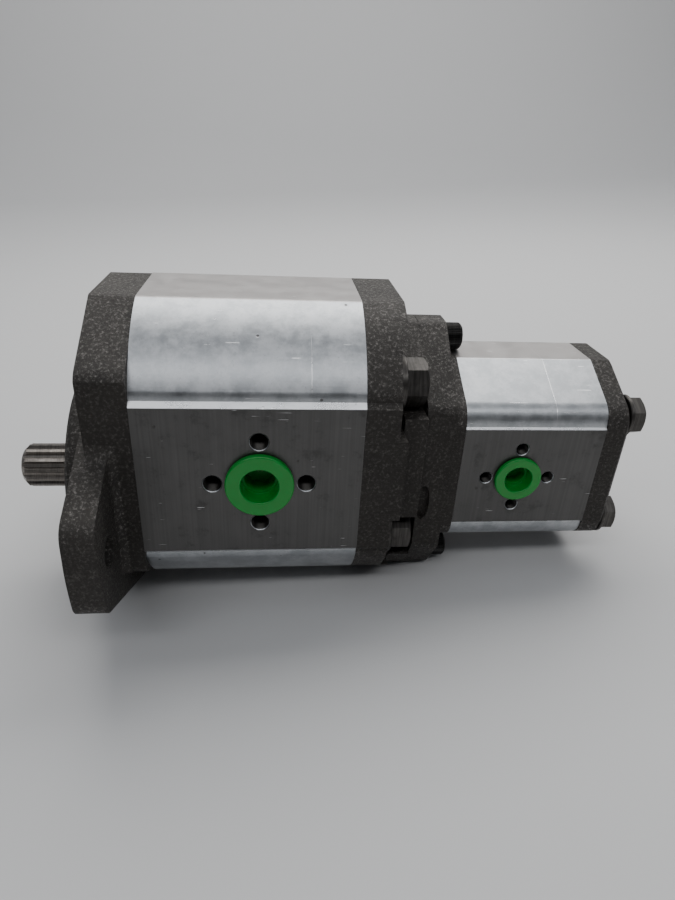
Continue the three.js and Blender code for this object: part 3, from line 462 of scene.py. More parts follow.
class Surface:
    """A Principled material with short ways to add procedural detail in millimetres."""

    def __init__(self, name, metallic, roughness, specular=0.5):
        self.material = bpy.data.materials.new(name)
        self.material.use_nodes = True
        self.tree = self.material.node_tree
        self.shader = self.tree.nodes["Principled BSDF"]
        self.shader.inputs["Metallic"].default_value = metallic
        self.shader.inputs["Roughness"].default_value = roughness
        self.shader.inputs["Specular IOR Level"].default_value = specular
        self.place = self.add("ShaderNodeTexCoord").outputs["Object"]
        self.normal = None

    def add(self, kind, **settings):
        node = self.tree.nodes.new(kind)
        for key, value in settings.items():
            setattr(node, key, value)
        return node

    def wire(self, source, target):
        if isinstance(source, (int, float, tuple)):
            target.default_value = source
        else:
            self.tree.links.new(source, target)

    def millimetres(self, stretch=(1, 1, 1), turn=(0, 0, 0)):
        """Object coordinates in millimetres, turned in degrees and then scaled along each axis."""
        turned_place = self.add("ShaderNodeMapping", vector_type="POINT")
        self.wire(self.place, turned_place.inputs["Vector"])
        turned_place.inputs["Rotation"].default_value = [math.radians(a) for a in turn]
        turned_place.inputs["Scale"].default_value = [s / MM for s in stretch]
        return turned_place.outputs["Vector"]

    def axes(self):
        """The surface point's x, y and z in millimetres."""
        parts = self.add("ShaderNodeSeparateXYZ")
        self.wire(self.millimetres(), parts.inputs["Vector"])
        return parts.outputs["X"], parts.outputs["Y"], parts.outputs["Z"]

    def noise(self, scale, detail=4, roughness=0.55, stretch=(1, 1, 1), turn=(0, 0, 0)):
        node = self.add("ShaderNodeTexNoise")
        self.wire(self.millimetres(stretch, turn), node.inputs["Vector"])
        node.inputs["Scale"].default_value = scale
        node.inputs["Detail"].default_value = detail
        node.inputs["Roughness"].default_value = roughness
        return node.outputs["Fac"]

    def cells(self, scale):
        node = self.add("ShaderNodeTexVoronoi")
        self.wire(self.millimetres(), node.inputs["Vector"])
        node.inputs["Scale"].default_value = scale
        return node.outputs["Distance"]

    def between(self, value, low, high, to_low=0.0, to_high=1.0):
        """Maps low..high to to_low..to_high, clamped and smooth."""
        node = self.add("ShaderNodeMapRange", interpolation_type="SMOOTHSTEP")
        self.wire(value, node.inputs["Value"])
        for name, number in zip(("From Min", "From Max", "To Min", "To Max"),
                                (low, high, to_low, to_high)):
            node.inputs[name].default_value = number
        return node.outputs["Result"]

    def math(self, operation, a, b=0.0):
        node = self.add("ShaderNodeMath", operation=operation)
        self.wire(a, node.inputs[0])
        self.wire(b, node.inputs[1])
        return node.outputs["Value"]

    def mix(self, factor, a, b):
        node = self.add("ShaderNodeMix", data_type="RGBA")
        self.wire(factor, node.inputs["Factor"])
        self.wire(a, node.inputs["A"])
        self.wire(b, node.inputs["B"])
        return node.outputs["Result"]

    def facing(self, axis, low, high):
        """1 where the surface looks along an axis, either way."""
        normal = self.add("ShaderNodeTexCoord").outputs["Normal"]
        parts = self.add("ShaderNodeSeparateXYZ")
        self.wire(normal, parts.inputs["Vector"])
        return self.between(self.math("ABSOLUTE", parts.outputs[axis]), low, high)

    def colour(self, value):
        self.wire(value, self.shader.inputs["Base Color"])

    def gloss(self, value):
        self.wire(value, self.shader.inputs["Roughness"])

    def bump(self, height, distance, strength=1.0):
        """Adds relief, distance being its height in millimetres."""
        node = self.add("ShaderNodeBump")
        node.inputs["Strength"].default_value = strength
        node.inputs["Distance"].default_value = distance * MM
        self.wire(height, node.inputs["Height"])
        if self.normal is not None:
            self.wire(self.normal, node.inputs["Normal"])
        self.normal = node.outputs["Normal"]
        self.wire(self.normal, self.shader.inputs["Normal"])


def grey(level, warmth=0.0):
    return (level * (1 + warmth), level, level * (1 - warmth), 1.0)


def cast_iron():
    """Dark sand-cast iron with fine grain, a few pits, rubbed high spots, and machined sides painted
    darker as shade.
    """
    s = Surface("cast_iron", metallic=0.2, roughness=0.6, specular=0.4)
    tone = s.noise(0.05, detail=5, roughness=0.6)
    grain = s.noise(0.75, detail=8, roughness=0.8)
    lines = s.noise(1.8, detail=3, stretch=(0.03, 1, 1.4))
    pits = s.between(s.cells(0.7), 0.09, 0.16, 1.0, 0.0)
    pits = s.math("MULTIPLY", pits, s.between(s.noise(0.12, detail=2), 0.56, 0.66))
    machined = s.facing("Y", 0.985, 0.999)
    dark = s.mix(s.between(tone, 0.3, 0.7), grey(0.022, 0.12), grey(0.037, 0.11))
    rubbed = s.math("MULTIPLY", s.between(grain, 0.50, 0.68), 0.75)
    base = s.mix(rubbed, dark, grey(0.241, 0.07))
    # Painted shade: the sides facing across the pump get a darker colour; only their milling lines are
    # real.
    milled_lines_painted_shade = s.mix(s.between(lines, 0.3, 0.7), grey(0.017, 0.15), grey(0.025, 0.14))
    base = s.mix(s.math("MULTIPLY", machined, 0.6), base, milled_lines_painted_shade)
    worn = s.between(s.noise(0.09, detail=6, roughness=0.8), 0.62, 0.74)
    worn = s.math("MULTIPLY", worn, s.between(grain, 0.45, 0.6))
    base = s.mix(s.math("MULTIPLY", worn, 0.45), base, grey(0.24, 0.05))
    rust = s.between(s.noise(0.14, detail=6, roughness=0.75), 0.62, 0.76)
    base = s.mix(s.math("MULTIPLY", rust, 0.4), base, (0.070, 0.036, 0.024, 1))
    s.colour(s.mix(s.math("MULTIPLY", pits, 0.7), base, grey(0.014, 0.15)))
    s.gloss(s.between(grain, 0.35, 0.7, 0.72, 0.5))
    s.bump(grain, 0.4, 0.7)
    s.bump(s.noise(0.3, detail=3), 0.7, 0.3)
    s.bump(s.math("MULTIPLY", pits, -1.0), 0.25, 0.5)
    s.bump(s.math("MULTIPLY", lines, machined), 0.3, 0.45)
    return s.material


def scratches(s, turn, width_scale, low, high, share):
    """Thin straight scratches in one direction, broken up into separate strokes."""
    strokes = s.noise(width_scale, detail=1, stretch=(0.03, 1, 1), turn=turn)
    broken = s.noise(0.09, detail=2, turn=turn)
    return s.math("MULTIPLY", s.between(strokes, low, high), s.between(broken, share, share + 0.05))


def band(s, value, low, high, edge):
    """1 where value is between low and high, fading over edge on both sides."""
    rising = s.between(value, low - edge, low + edge)
    return s.math("MULTIPLY", rising, s.between(value, high - edge, high + edge, 1.0, 0.0))


def body_aluminium(name, half_width, middle_z, face, rise, nick_x):
    """Satin extruded aluminium; the duller milled port faces are painted dark as a painted reflection, and
    the milled ledges are painted bright as a painted highlight.

    The holes and chambers are painted dark as shade. One long nick runs down the shoulder.
    """
    s = Surface(name, metallic=1.0, roughness=0.4)
    x, y, z = s.axes()
    out = s.math("ABSOLUTE", y)
    height = s.math("SUBTRACT", z, middle_z + SHAFT_Z / MM)
    above = s.math("ABSOLUTE", height)
    port_face = s.between(out, half_width - 0.2, half_width - 0.1)
    # Mask for the painted shade in the holes and chambers below the port face.
    hollow_shade = s.math("MULTIPLY", s.between(out, half_width - 0.5, half_width - 0.3, 1.0, 0.0),
                    s.between(above, face - 1.5, face - 1, 1.0, 0.0))
    # Mask of the milled ledges, for their painted highlight and their lower roughness.
    ledge = s.math("MULTIPLY", band(s, above, face + 0.02, face + rise + 0.05, 0.04),
                   s.between(out, half_width - 0.15, half_width - 0.05, 1.0, 0.0))
    drawn = s.noise(1.4, detail=4, stretch=(0.02, 1, 1))
    mottle = s.noise(0.1, detail=6, roughness=0.7)
    speckle = s.noise(0.9, detail=6, roughness=0.8)
    milled = s.noise(0.9, detail=4, stretch=(1, 1, 0.015))
    shoulder = s.mix(s.between(mottle, 0.35, 0.65), (0.36, 0.375, 0.39, 1), (0.52, 0.535, 0.55, 1))
    shoulder = s.mix(s.between(speckle, 0.56, 0.70), shoulder, (0.30, 0.31, 0.33, 1))
    # Painted reflection: the flat top and bottom, picked by the way they face, are tinted a warmer grey.
    top = s.facing("Z", 0.96, 0.99)
    shoulder = s.mix(s.math("MULTIPLY", top, 0.8), shoulder, (0.46, 0.435, 0.42, 1))
    # Painted reflection: the port faces get a dark grey standing in for the dim surroundings they reflect;
    # the milling lines are real.
    port = s.mix(s.between(milled, 0.3, 0.7), grey(0.107, 0.02), grey(0.121, 0.02))
    port = s.mix(s.between(mottle, 0.55, 0.7), port, grey(0.089, 0.02))
    base = s.mix(port_face, shoulder, port)
    dents = s.between(s.cells(0.075), 0.035, 0.06, 1.0, 0.0)
    base = s.mix(s.math("MULTIPLY", dents, 0.8), base, grey(0.09, 0.05))
    ticks = scratches(s, (0, 86, 0), 1.5, 0.70, 0.74, 0.58)
    strokes = scratches(s, (0, 34, 0), 1.6, 0.71, 0.74, 0.60)
    nick = band(s, x, nick_x - 0.12, nick_x + 0.12, 0.05)
    nick = s.math("MULTIPLY", nick, band(s, height, face + rise + 4, face + rise + 22, 1.0))
    marks = s.math("MAXIMUM", s.math("MAXIMUM", ticks, strokes), nick)
    base = s.mix(marks, base, (0.86, 0.86, 0.86, 1))
    # Painted highlight: the milled ledges are painted near white.
    base = s.mix(ledge, base, (0.88, 0.89, 0.90, 1))
    # Painted shade: the holes and chambers are painted near black.
    s.colour(s.mix(hollow_shade, base, grey(0.035, 0.05)))
    rough = s.between(mottle, 0.25, 0.75, 0.36, 0.46)
    rough = s.math("ADD", rough, s.math("MULTIPLY", port_face, 0.06))
    rough = s.math("SUBTRACT", rough, s.math("MULTIPLY", ledge, 0.12))
    s.gloss(s.math("SUBTRACT", rough, s.math("MULTIPLY", marks, 0.12)))
    s.bump(drawn, 0.035, 0.5)
    s.bump(speckle, 0.03, 0.5)
    s.bump(s.math("MULTIPLY", milled, port_face), 0.05, 0.5)
    s.bump(s.math("MULTIPLY", dents, -1.0), 0.25, 0.6)
    s.bump(s.math("MULTIPLY", marks, -1.0), 0.06, 0.6)
    return s.material


def green_plastic():
    """Moulded green plastic, slightly translucent, with fine flow marks and lighter, rougher patches of
    scuffing and painted sheen.
    """
    s = Surface("green_plastic", metallic=0.0, roughness=0.36, specular=0.5)
    tone = s.noise(0.2, detail=4)
    sheen_and_scuffs = s.between(s.noise(1.4, detail=6, roughness=0.75), 0.6, 0.74)
    base = s.mix(tone, (0.0, 0.225, 0.020, 1), (0.001, 0.300, 0.035, 1))
    # Lighter green patches: partly scuffing, partly painted sheen.
    s.colour(s.mix(s.math("MULTIPLY", sheen_and_scuffs, 0.35), base, (0.03, 0.31, 0.11, 1)))
    s.gloss(s.between(sheen_and_scuffs, 0.0, 1.0, 0.3, 0.5))
    s.bump(s.noise(0.8, detail=3), 0.05, 0.5)
    s.shader.inputs["Subsurface Weight"].default_value = 0.08
    s.shader.inputs["Subsurface Radius"].default_value = (0.0006, 0.0016, 0.0008)
    return s.material


def turned_steel(name, light, dark, roughness, warmth, ring_scale):
    """Machined steel with turning marks across the shaft, stains and small nicks."""
    s = Surface(name, metallic=1.0, roughness=roughness)
    rings = s.noise(ring_scale, detail=3, stretch=(1, 0.05, 0.05))
    stain = s.noise(0.22, detail=5, roughness=0.7)
    base = s.mix(s.between(rings, 0.3, 0.7), grey(dark, warmth), grey(light, warmth))
    nicks = s.between(s.noise(1.9, detail=6, roughness=0.8), 0.62, 0.75)
    base = s.mix(s.math("MULTIPLY", nicks, 0.5), base, grey(light * 0.35, warmth))
    s.colour(s.mix(s.between(stain, 0.52, 0.78, 0.0, 0.55), base, grey(dark * 0.45, warmth * 2)))
    s.gloss(s.between(stain, 0.25, 0.75, roughness - 0.08, roughness + 0.12))
    s.bump(rings, 0.05, 0.5)
    s.bump(nicks, -0.05, 0.5)
    return s.material


def soft_black(name, level, roughness):
    """Rubber with a dusty bloom."""
    s = Surface(name, metallic=0.0, roughness=roughness, specular=0.3)
    dust = s.noise(0.7, detail=6, roughness=0.7)
    s.colour(s.mix(s.between(dust, 0.45, 0.75), grey(level), grey(level * 2.6)))
    s.gloss(s.between(dust, 0.3, 0.7, roughness, roughness + 0.12))
    s.bump(dust, 0.06, 0.5)
    return s.material


MATERIALS = {
    "cast_iron": cast_iron(),
    "body_aluminium": body_aluminium("body_aluminium", FRONT_HALF_WIDTH, FRONT_MIDDLE_Z,
                                     FRONT_FACE_HALF_HEIGHT, FRONT_LEDGE["rise"], FRONT_NICK_X),
    "machined_steel": turned_steel("machined_steel", 0.21, 0.14, 0.36, 0.09, 2.2),
    "bolt_steel": turned_steel("bolt_steel", 0.105, 0.06, 0.42, 0.06, 1.2),
    "black_steel": turned_steel("black_steel", 0.040, 0.020, 0.38, 0.03, 1.4),
    "green_plastic": green_plastic(),
    "seal_rubber": soft_black("seal_rubber", 0.012, 0.6),
    "bearing_alloy": turned_steel("bearing_alloy", 0.62, 0.5, 0.38, 0.0, 1.5),
    "bronze": turned_steel("bronze", 0.42, 0.3, 0.36, 0.38, 2.0),
    "rear_body_aluminium": body_aluminium("rear_body_aluminium", REAR_HALF_WIDTH, REAR_MIDDLE_Z,
                                          REAR_FACE_HALF_HEIGHT, REAR_LEDGE["rise"], REAR_NICK_X),
}

# ---- Castings -------------------------------------------------------------------------------


def bolt_places(pump):
    """The (y, z) of each through bolt of the front or the rear pump, by its node name."""
    places = {}
    for corner in ("upper_near", "upper_far", "lower_near", "lower_far"):
        name = f"{pump}_bolt_{corner}"
        places[name] = middle(name)[1:]
    return places


CAP_SCREW_NODES = ("cap_screw_top", "cap_screw_lower_near", "cap_screw_lower_far")
CAP_SCREWS = {node: middle(node)[1:] for node in CAP_SCREW_NODES}


def bolt_holes(pump, radius, from_x, to_x):
    return [rod(radius, from_x, to_x, y, z, 32) for y, z in bolt_places(pump).values()]


def screw_holes(from_x, to_x):
    return [rod(CAP_SCREW_HOLE, from_x, to_x, y, z, 24) for y, z in CAP_SCREWS.values()]


def open_pocket(radius, from_x, to_x, y, z):
    """A round pocket that runs out through the nearer side of the casting."""
    side = math.copysign(1, y)
    reach = side * (EAR_REACH - 10)
    across = (min(y, reach), max(y, reach))
    way_out = block((from_x, to_x), across, (z - radius, z + radius))
    return join(rod(radius, from_x, to_x, y, z, 64), way_out)


def head_pockets(radius, from_x, to_x):
    """Pockets round the heads of the front pump's bolts."""
    return [open_pocket(radius, from_x, to_x, y, z) for y, z in bolt_places("front").values()]


def mounting_flange():
    tangent_y = FLANK_TOUCH["y"] * FLANGE_RADIUS
    tangent_z = FLANK_TOUCH["z"] * FLANGE_RADIUS
    corner_y = EAR_REACH - EAR_CORNER["inset"]
    outline = rounded(both_sides([
        (tangent_y, -tangent_z, 0),
        (corner_y, -EAR_CORNER["z"], EAR_CORNER["radius"]),
        (EAR_REACH, 0, EAR_REACH),
        (corner_y, EAR_CORNER["z"], EAR_CORNER["radius"]),
        (tangent_y, tangent_z, 0),
    ]), steps=10)
    ears = plate(outline, EAR_X, EAR_BACK_X)
    return join(ears, rod(FLANGE_RADIUS, EAR_X, EAR_BACK_X, steps=128))


def ear_root_outline(side):
    """The (y, z) outline where an ear runs into the cover, with a fillet over its flank."""
    wall = FRONT_COVER["half_width"]
    inner = wall - EAR_ROOT["inset"]
    right = rounded([
        (inner, EAR_ROOT["inner_bottom_z"], 0),
        (EAR_ROOT["outer_y"], EAR_ROOT["outer_bottom_z"], 0),
        (EAR_ROOT["outer_y"], EAR_ROOT["outer_top_z"], 0),
        (wall, EAR_ROOT["corner_z"], EAR_ROOT["flank_radius"]),
        (wall, EAR_ROOT["top_z"], 0),
        (inner, EAR_ROOT["top_z"], 0),
    ], steps=12)
    return right if side > 0 else [(-y, z) for y, z in reversed(right)]


def prism(section, place, from_height, to_height):
    """A section extruded between two heights; place(a, b, height) gives each corner's place."""
    mesh = bmesh.new()
    ends = []
    for height in (from_height, to_height):
        ends.append([mesh.verts.new(to_row(*place(a, b, height))) for a, b in section])
    mesh.faces.new(ends[0])
    mesh.faces.new(ends[1])
    for i in range(len(section)):
        after = (i + 1) % len(section)
        mesh.faces.new((ends[0][i], ends[0][after], ends[1][after], ends[1][i]))
    return new_object("prism", mesh)


def ear_back_fillet(side):
    """A quarter-round column between an ear's back and the cover's side."""
    wall = FRONT_COVER["half_width"]
    radius = EAR_ROOT["back_radius"]
    centre_x = EAR_BACK_X + radius
    centre_y = wall + radius
    curve = arc(centre_x, centre_y, radius, -math.pi / 2, -math.pi, 10)
    section = [(EAR_BACK_X - 1, wall - 1), (centre_x, wall - 1)]
    section += curve + [(EAR_BACK_X - 1, centre_y)]
    bottom_z, top_z = EAR_ROOT["inner_bottom_z"], EAR_ROOT["top_z"]
    return prism(section, lambda x, y, z: (x, side * y, z), bottom_z, top_z)


def ear_root(side):
    outline = ear_root_outline(side)
    behind = plate(outline, EAR_BACK_X - 1, EAR_BACK_X + EAR_ROOT["back_radius"] + 1)
    combine(behind, [ear_back_fillet(side)], "INTERSECT")
    return join(plate(outline, 0.2, EAR_BACK_X), behind)


def cover_slab(from_x, to_x):
    """Cast with round shoulders, its sides then milled flat to a crisp edge."""
    cast = dict(FRONT_COVER, half_width=FRONT_COVER["half_width"] + MILLED_OFF)
    side = FRONT_COVER["half_width"]
    outline = [(max(-side, min(side, y)), z) for y, z in shouldered(cast, FRONT_MIDDLE_Z)]
    return plate(outline, from_x, to_x)


def front_cover():
    pilot_x, back_x = stations("front_cover")
    pilot = turned([
        (pilot_x, 0),
        (pilot_x, PILOT_RADIUS - PILOT_CHAMFER),
        (pilot_x + PILOT_CHAMFER, PILOT_RADIUS),
        (1, PILOT_RADIUS),
        (1, 0),
    ], steps=160)
    whole = join(cover_slab(0, back_x), mounting_flange(), pilot, ear_root(-1), ear_root(1))
    recess = [
        rod(SEAL_RECESS["radius"], pilot_x - 1, SEAL_RECESS["end_x"], steps=96),
        rod(RING_GROOVE["radius"], RING_GROOVE["start_x"], RING_GROOVE["end_x"], steps=96),
    ]
    ear_ends = (EAR_X - 1, EAR_BACK_X + 1)
    holes = [rod(EAR_BOLT_RADIUS, *ear_ends, side * EAR_BOLT_Y, 0, 64) for side in (-1, 1)]
    tapped = bolt_holes("front", FRONT_BOLT_HOLE, 4, back_x + 1)
    return cut(whole, *recess, rod(SHAFT_BORE_RADIUS, pilot_x, back_x + 1), *holes, *tapped)


def tapped_hole(port, side, x, face_y, z):
    """A cutter with a countersunk mouth and ring-shaped threads."""
    outer = port["thread"]
    inner = outer - 0.61 * port["pitch"]
    profile = [(1, 0), (1, outer + 0.35), (0, outer + 0.35)]
    height = -(outer + 0.35 - inner)
    profile.append((height, inner))
    while height > -port["depth"]:
        profile.append((height - port["pitch"] / 2, outer))
        profile.append((height - port["pitch"], inner))
        height -= port["pitch"]
    profile += [(-port["depth"] - 2.2, inner), (-port["depth"] - 4.2, 0)]
    return turned(profile, (x, face_y, z), (0, side, 0), steps=28)


def port_cutters(port, side, half_width, x, z):
    face_y = side * half_width
    bore = [(1, 0), (1, port["bore"]), (-half_width + 12, port["bore"]), (-half_width + 12, 0)]
    ring = port["ring"]
    places = ((ring, 0), (-ring, 0), (0, ring), (0, -ring))
    holes = [tapped_hole(port, side, x + dx, face_y, z + dz) for dx, dz in places]
    return [turned(bore, (x, face_y, z), (0, side, 0), steps=48)] + holes


def pump_body(name, outline, chamber_radius, middle_z, port, half_width, bolt_hole):
    from_x, to_x = stations(f"{name}_body")
    port_x = middle(f"{name}_port_plug_near")[0]
    piece = plate(outline, from_x, to_x)
    cutters = [plate(figure_eight(chamber_radius, middle_z), from_x - 1, to_x + 1)]
    cutters += bolt_holes(name, bolt_hole, from_x - 1, to_x + 1)
    for side in (-1, 1):
        cutters += port_cutters(port, side, half_width, port_x, middle_z)
    return cut(piece, *cutters)


def mid_cover():
    from_x, to_x = stations("mid_cover")
    pockets = head_pockets(SPOTFACE_RADIUS, MID_RIM_X, to_x + 1)
    holes = bolt_holes("front", FRONT_BOLT_HOLE, from_x - 1, MID_RIM_X + 1)
    bore = rod(COUPLING_BORE_RADIUS, from_x - 1, to_x + 1)
    return cut(plate(front_body_outline(), from_x, to_x), *pockets, *holes, bore)


def pry_slots():
    """A shallow arched slot in both sides of the rear pump's flange, open to the seam."""
    slots = []
    radius = PRY_SLOT["radius"]
    for side in (-1, 1):
        outline = arc(0, 0, radius, 0, 2 * math.pi, 40)[:-1]

        def place(a, b, y, side=side):
            return PRY_SLOT["x"] + a, side * y, PRY_SLOT["z"] + PRY_SLOT["stretch"] * b

        slots.append(prism(outline, place, REAR_FLANGE_HALF_WIDTH - 3, ADAPTER_HALF_WIDTH + 2))
    return slots


def adapter_plate():
    from_x, to_x = stations("adapter_plate")
    pockets = head_pockets(HEAD_POCKET_RADIUS, from_x - 1, to_x + 1)
    holes = screw_holes(from_x - 1, to_x + 1)
    bore = rod(COUPLING_BORE_RADIUS, from_x - 1, to_x + 1)
    return cut(plate(lobed(ADAPTER_HALF_WIDTH), from_x, to_x), *pockets, *holes, bore)


def rear_pump_cover():
    from_x, to_x = stations("rear_pump_cover")
    flange = plate(lobed(REAR_FLANGE_HALF_WIDTH), from_x, REAR_FLANGE_BACK_X)
    neck = plate(shouldered(REAR_SECTION, REAR_MIDDLE_Z), from_x + 1, to_x)
    holes = screw_holes(from_x - 1, REAR_FLANGE_BACK_X + 1)
    bore = rod(COUPLING_BORE_RADIUS, from_x - 1, to_x + 1)
    return cut(join(flange, neck), *holes, *pry_slots(), bore)


def rear_end_cover():
    from_x, to_x = stations("rear_end_cover")
    outline = shouldered(REAR_SECTION, REAR_MIDDLE_Z)
    edge_x = to_x - END_COVER_EDGE
    narrowing = 1 - END_COVER_EDGE / REAR_SECTION["half_width"]
    cover = plate(outline, from_x, edge_x + 0.01)
    slope = plate(outline, edge_x, to_x, narrowing, REAR_MIDDLE_Z)
    return cut(join(cover, slope), *bolt_holes("rear", REAR_BOLT_HOLE, from_x - 1, to_x + 1))


# ---- Plugs and fasteners --------------------------------------------------------------------


def port_plug(plug, side, half_width, x, z):
    """A ring with rounded rims on the port face, and a cup with a step and a raised centre."""
    ring, cup, hole = plug["ring"], plug["cup"], plug["hole"]
    proud, depth = plug["proud"], plug["depth"]
    outer, inner = 0.9, 0.7
    quarter = [math.pi / 2 * i / 6 for i in range(7)]
    rim = [(proud - outer + outer * math.sin(a), ring - outer + outer * math.cos(a)) for a in quarter]
    lip = [(proud - inner + inner * math.cos(a), hole + inner - inner * math.sin(a)) for a in quarter]
    step = -0.35 * depth
    profile = [(-depth, 0), (-depth, cup - 1.4), (-depth + 1.2, cup - 0.3), (-0.2, cup), (0.3, cup + 0.4)]
    profile += [(0.3, ring - 0.3), (0.6, ring)] + rim + [(proud - 0.15, (ring + hole) / 2)] + lip
    profile += [(step + 0.4, hole - 0.1), (step, hole - 0.4), (step, hole - 1.3), (step - 0.4, hole - 1.6)]
    profile += [(-depth + 1.6, hole - 1.9), (-depth + 1.2, hole - 2.3), (-depth + 1.2, 1.6)]
    profile += [(-depth + 1.9, 1.2), (-depth + 1.9, 0)]
    return turned(profile, (x, side * half_width, z), (0, side, 0), steps=96)


def hex_bolt(node, across_flats, shank_radius, head_height):
    """A chamfered hexagon head on a plain shank."""
    from_x, to_x = stations(node)
    _, y, z = middle(node)
    head_x = to_x - head_height
    corner = across_flats / 2 / math.cos(math.pi / 6)
    face = 0.46 * across_flats
    rounded_end = turned([
        (head_x - 1, 0),
        (head_x - 1, corner - 0.8),
        (head_x + 0.5, corner + 0.1),
        (to_x - (corner - face) * 0.55, corner + 0.1),
        (to_x, face),
        (to_x, face - 1.2),
        (to_x - 0.35, face - 2),
        (to_x - 0.35, 0),
    ], (0, y, z), steps=72)
    outline = hexagon(across_flats, y, z, HEAD_TURNS.get(node, 0))
    head = combine(plate(outline, head_x, to_x), [rounded_end], "INTERSECT")
    return join(head, rod(shank_radius, from_x, head_x + 1, y, z, 40))


def washer(node, hole):
    from_x, to_x = stations(node)
    low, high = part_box(node)
    radius = (high[1] - low[1]) / MM / 2
    _, y, z = middle(node)
    edge = 0.35
    profile = [
        (from_x, hole), (from_x, radius - edge), (from_x + edge, radius),
        (to_x - edge, radius), (to_x, radius - edge), (to_x, hole),
    ]
    return turned(profile, (0, y, z), steps=64, closed=True)


def cap_screw(node):
    """A socket-head screw with a knurled head."""
    from_x, to_x = stations(node)
    _, y, z = middle(node)
    head_radius = CAP_SCREW["head_radius"]
    head_x = to_x - CAP_SCREW["head_height"]
    steps = 4 * KNURL["flutes"]
    knurl = []
    for i in range(steps):
        radius = head_radius - (KNURL["depth"] if i % 4 in (2, 3) else 0)
        angle = 2 * math.pi * i / steps
        knurl.append((y + radius * math.cos(angle), z + radius * math.sin(angle)))
    envelope = turned([
        (head_x, 0),
        (head_x, head_radius - 0.5),
        (head_x + 0.5, head_radius + 0.1),
        (to_x - 1.4, head_radius + 0.1),
        (to_x - 0.5, head_radius - 0.45),
        (to_x, head_radius - 1.1),
        (to_x, 0),
    ], (0, y, z), steps=88)
    head = combine(plate(knurl, head_x, to_x), [envelope], "INTERSECT")
    head = join(head, rod(CAP_SCREW["shank_radius"], from_x, head_x + 1, y, z, 32))
    socket = plate(hexagon(CAP_SCREW["socket"], y, z), to_x - CAP_SCREW["socket_depth"], to_x + 1)
    return cut(head, socket)


def drive_shaft():
    """The splined end with its chamfer and centre hole, the journals, the gear and the stub."""
    tip_x, stub_x = stations("front_drive_gear_shaft")
    spline_end = -PILOT_HEIGHT + 1
    journal_end = stations("front_body")[1] - 0.5
    tip = DRIVE_SPLINE["tip"]
    envelope = turned([
        (tip_x, 0),
        (tip_x, tip - SPLINE_CHAMFER),
        (tip_x + SPLINE_CHAMFER, tip + 0.1),
        (spline_end - 1.6, tip + 0.1),
        (spline_end + 0.5, tip + 2),
        (spline_end + 0.5, 0),
    ], steps=96)
    end = combine(plate(spline(DRIVE_SPLINE), tip_x, spline_end), [envelope], "INTERSECT")
    centre = turned([
        (tip_x - 1, 0),
        (tip_x - 1, 4),
        (tip_x + 3, 1.6),
        (tip_x + 6, 1.6),
        (tip_x + 7, 0),
    ], steps=40)
    journal = turned([
        (spline_end - 0.5, 0),
        (spline_end - 0.5, JOURNAL_RADIUS - 0.6),
        (spline_end + 0.1, JOURNAL_RADIUS),
        (journal_end - 0.6, JOURNAL_RADIUS),
        (journal_end, JOURNAL_RADIUS - 0.6),
        (journal_end, 0),
    ], steps=96)
    gear = plate(front_gear(), FRONT_GEAR["start"], FRONT_GEAR["end"])
    stub = plate(spline(INNER_SPLINE), journal_end - 1, stub_x)
    return cut(join(journal, end, gear, stub), centre)


# ---- Object ---------------------------------------------------------------------------------


def build_castings():
    covers = {
        "front_cover": front_cover(),
        "mid_cover": mid_cover(),
        "adapter_plate": adapter_plate(),
        "rear_pump_cover": rear_pump_cover(),
        "rear_end_cover": rear_end_cover(),
    }
    for node, piece in covers.items():
        soften_edges(piece, CASTING_EDGE)
        stand_for(piece, node, "housing", MATERIALS["cast_iron"])
    bodies = {
        "front_body": pump_body("front", front_body_outline(), FRONT_CHAMBER_RADIUS, FRONT_MIDDLE_Z,
                                FRONT_PORT, FRONT_HALF_WIDTH, FRONT_BOLT_HOLE),
        "rear_body": pump_body("rear", rear_body_outline(), REAR_CHAMBER_RADIUS, REAR_MIDDLE_Z,
                               REAR_PORT, REAR_HALF_WIDTH, REAR_BOLT_HOLE),
    }
    for node, piece in bodies.items():
        smooth(piece, 28)
        finish = "body_aluminium" if node == "front_body" else "rear_body_aluminium"
        stand_for(piece, node, "housing", MATERIALS[finish])


def build_plugs():
    for pump, plug, half_width, z in (
        ("front", FRONT_PLUG, FRONT_HALF_WIDTH, FRONT_MIDDLE_Z),
        ("rear", REAR_PLUG, REAR_HALF_WIDTH, REAR_MIDDLE_Z),
    ):
        for place, side in (("near", -1), ("far", 1)):
            node = f"{pump}_port_plug_{place}"
            piece = port_plug(plug, side, half_width, middle(node)[0], z)
            smooth(piece, 40)
            stand_for(piece, node, f"{pump}_plug_{place}", MATERIALS["green_plastic"])


def build_drive_shaft():
    shaft = drive_shaft()
    smooth(shaft, 24)
    stand_for(shaft, "front_drive_gear_shaft", "drive_shaft", MATERIALS["machined_steel"])


def build_fasteners():
    for pump, size in HEX_BOLTS.items():
        for node in bolt_places(pump):
            bolt = hex_bolt(node, size["across_flats"], size["shank_radius"], size["head_height"])
            soften_edges(bolt, 0.25)
            stand_for(bolt, node, "housing", MATERIALS["bolt_steel"])
            ring_node = node.replace("bolt", "washer")
            ring = washer(ring_node, size["washer_hole"])
            smooth(ring)
            stand_for(ring, ring_node, "housing", MATERIALS["bolt_steel"])
    for node in CAP_SCREWS:
        screw = cap_screw(node)
        smooth(screw, 35)
        stand_for(screw, node, "housing", MATERIALS["black_steel"])
        ring_node = node.replace("screw", "washer")
        ring = washer(ring_node, CAP_SCREW_HOLE)
        smooth(ring)
        stand_for(ring, ring_node, "housing", MATERIALS["black_steel"])


def finish_cad_nodes():
    """Gives every CAD node its slot's material."""
    slots = {part["node"]: part["material_slot"] for part in RECORD["subparts"]}
    for node, piece in frame["nodes"].items():
        material = MATERIALS[slots[node]]
        if piece.material_slots:
            for holder in piece.material_slots:
                holder.material = material
        else:
            piece.data.materials.append(material)


# ---- Stage ----------------------------------------------------------------------------------


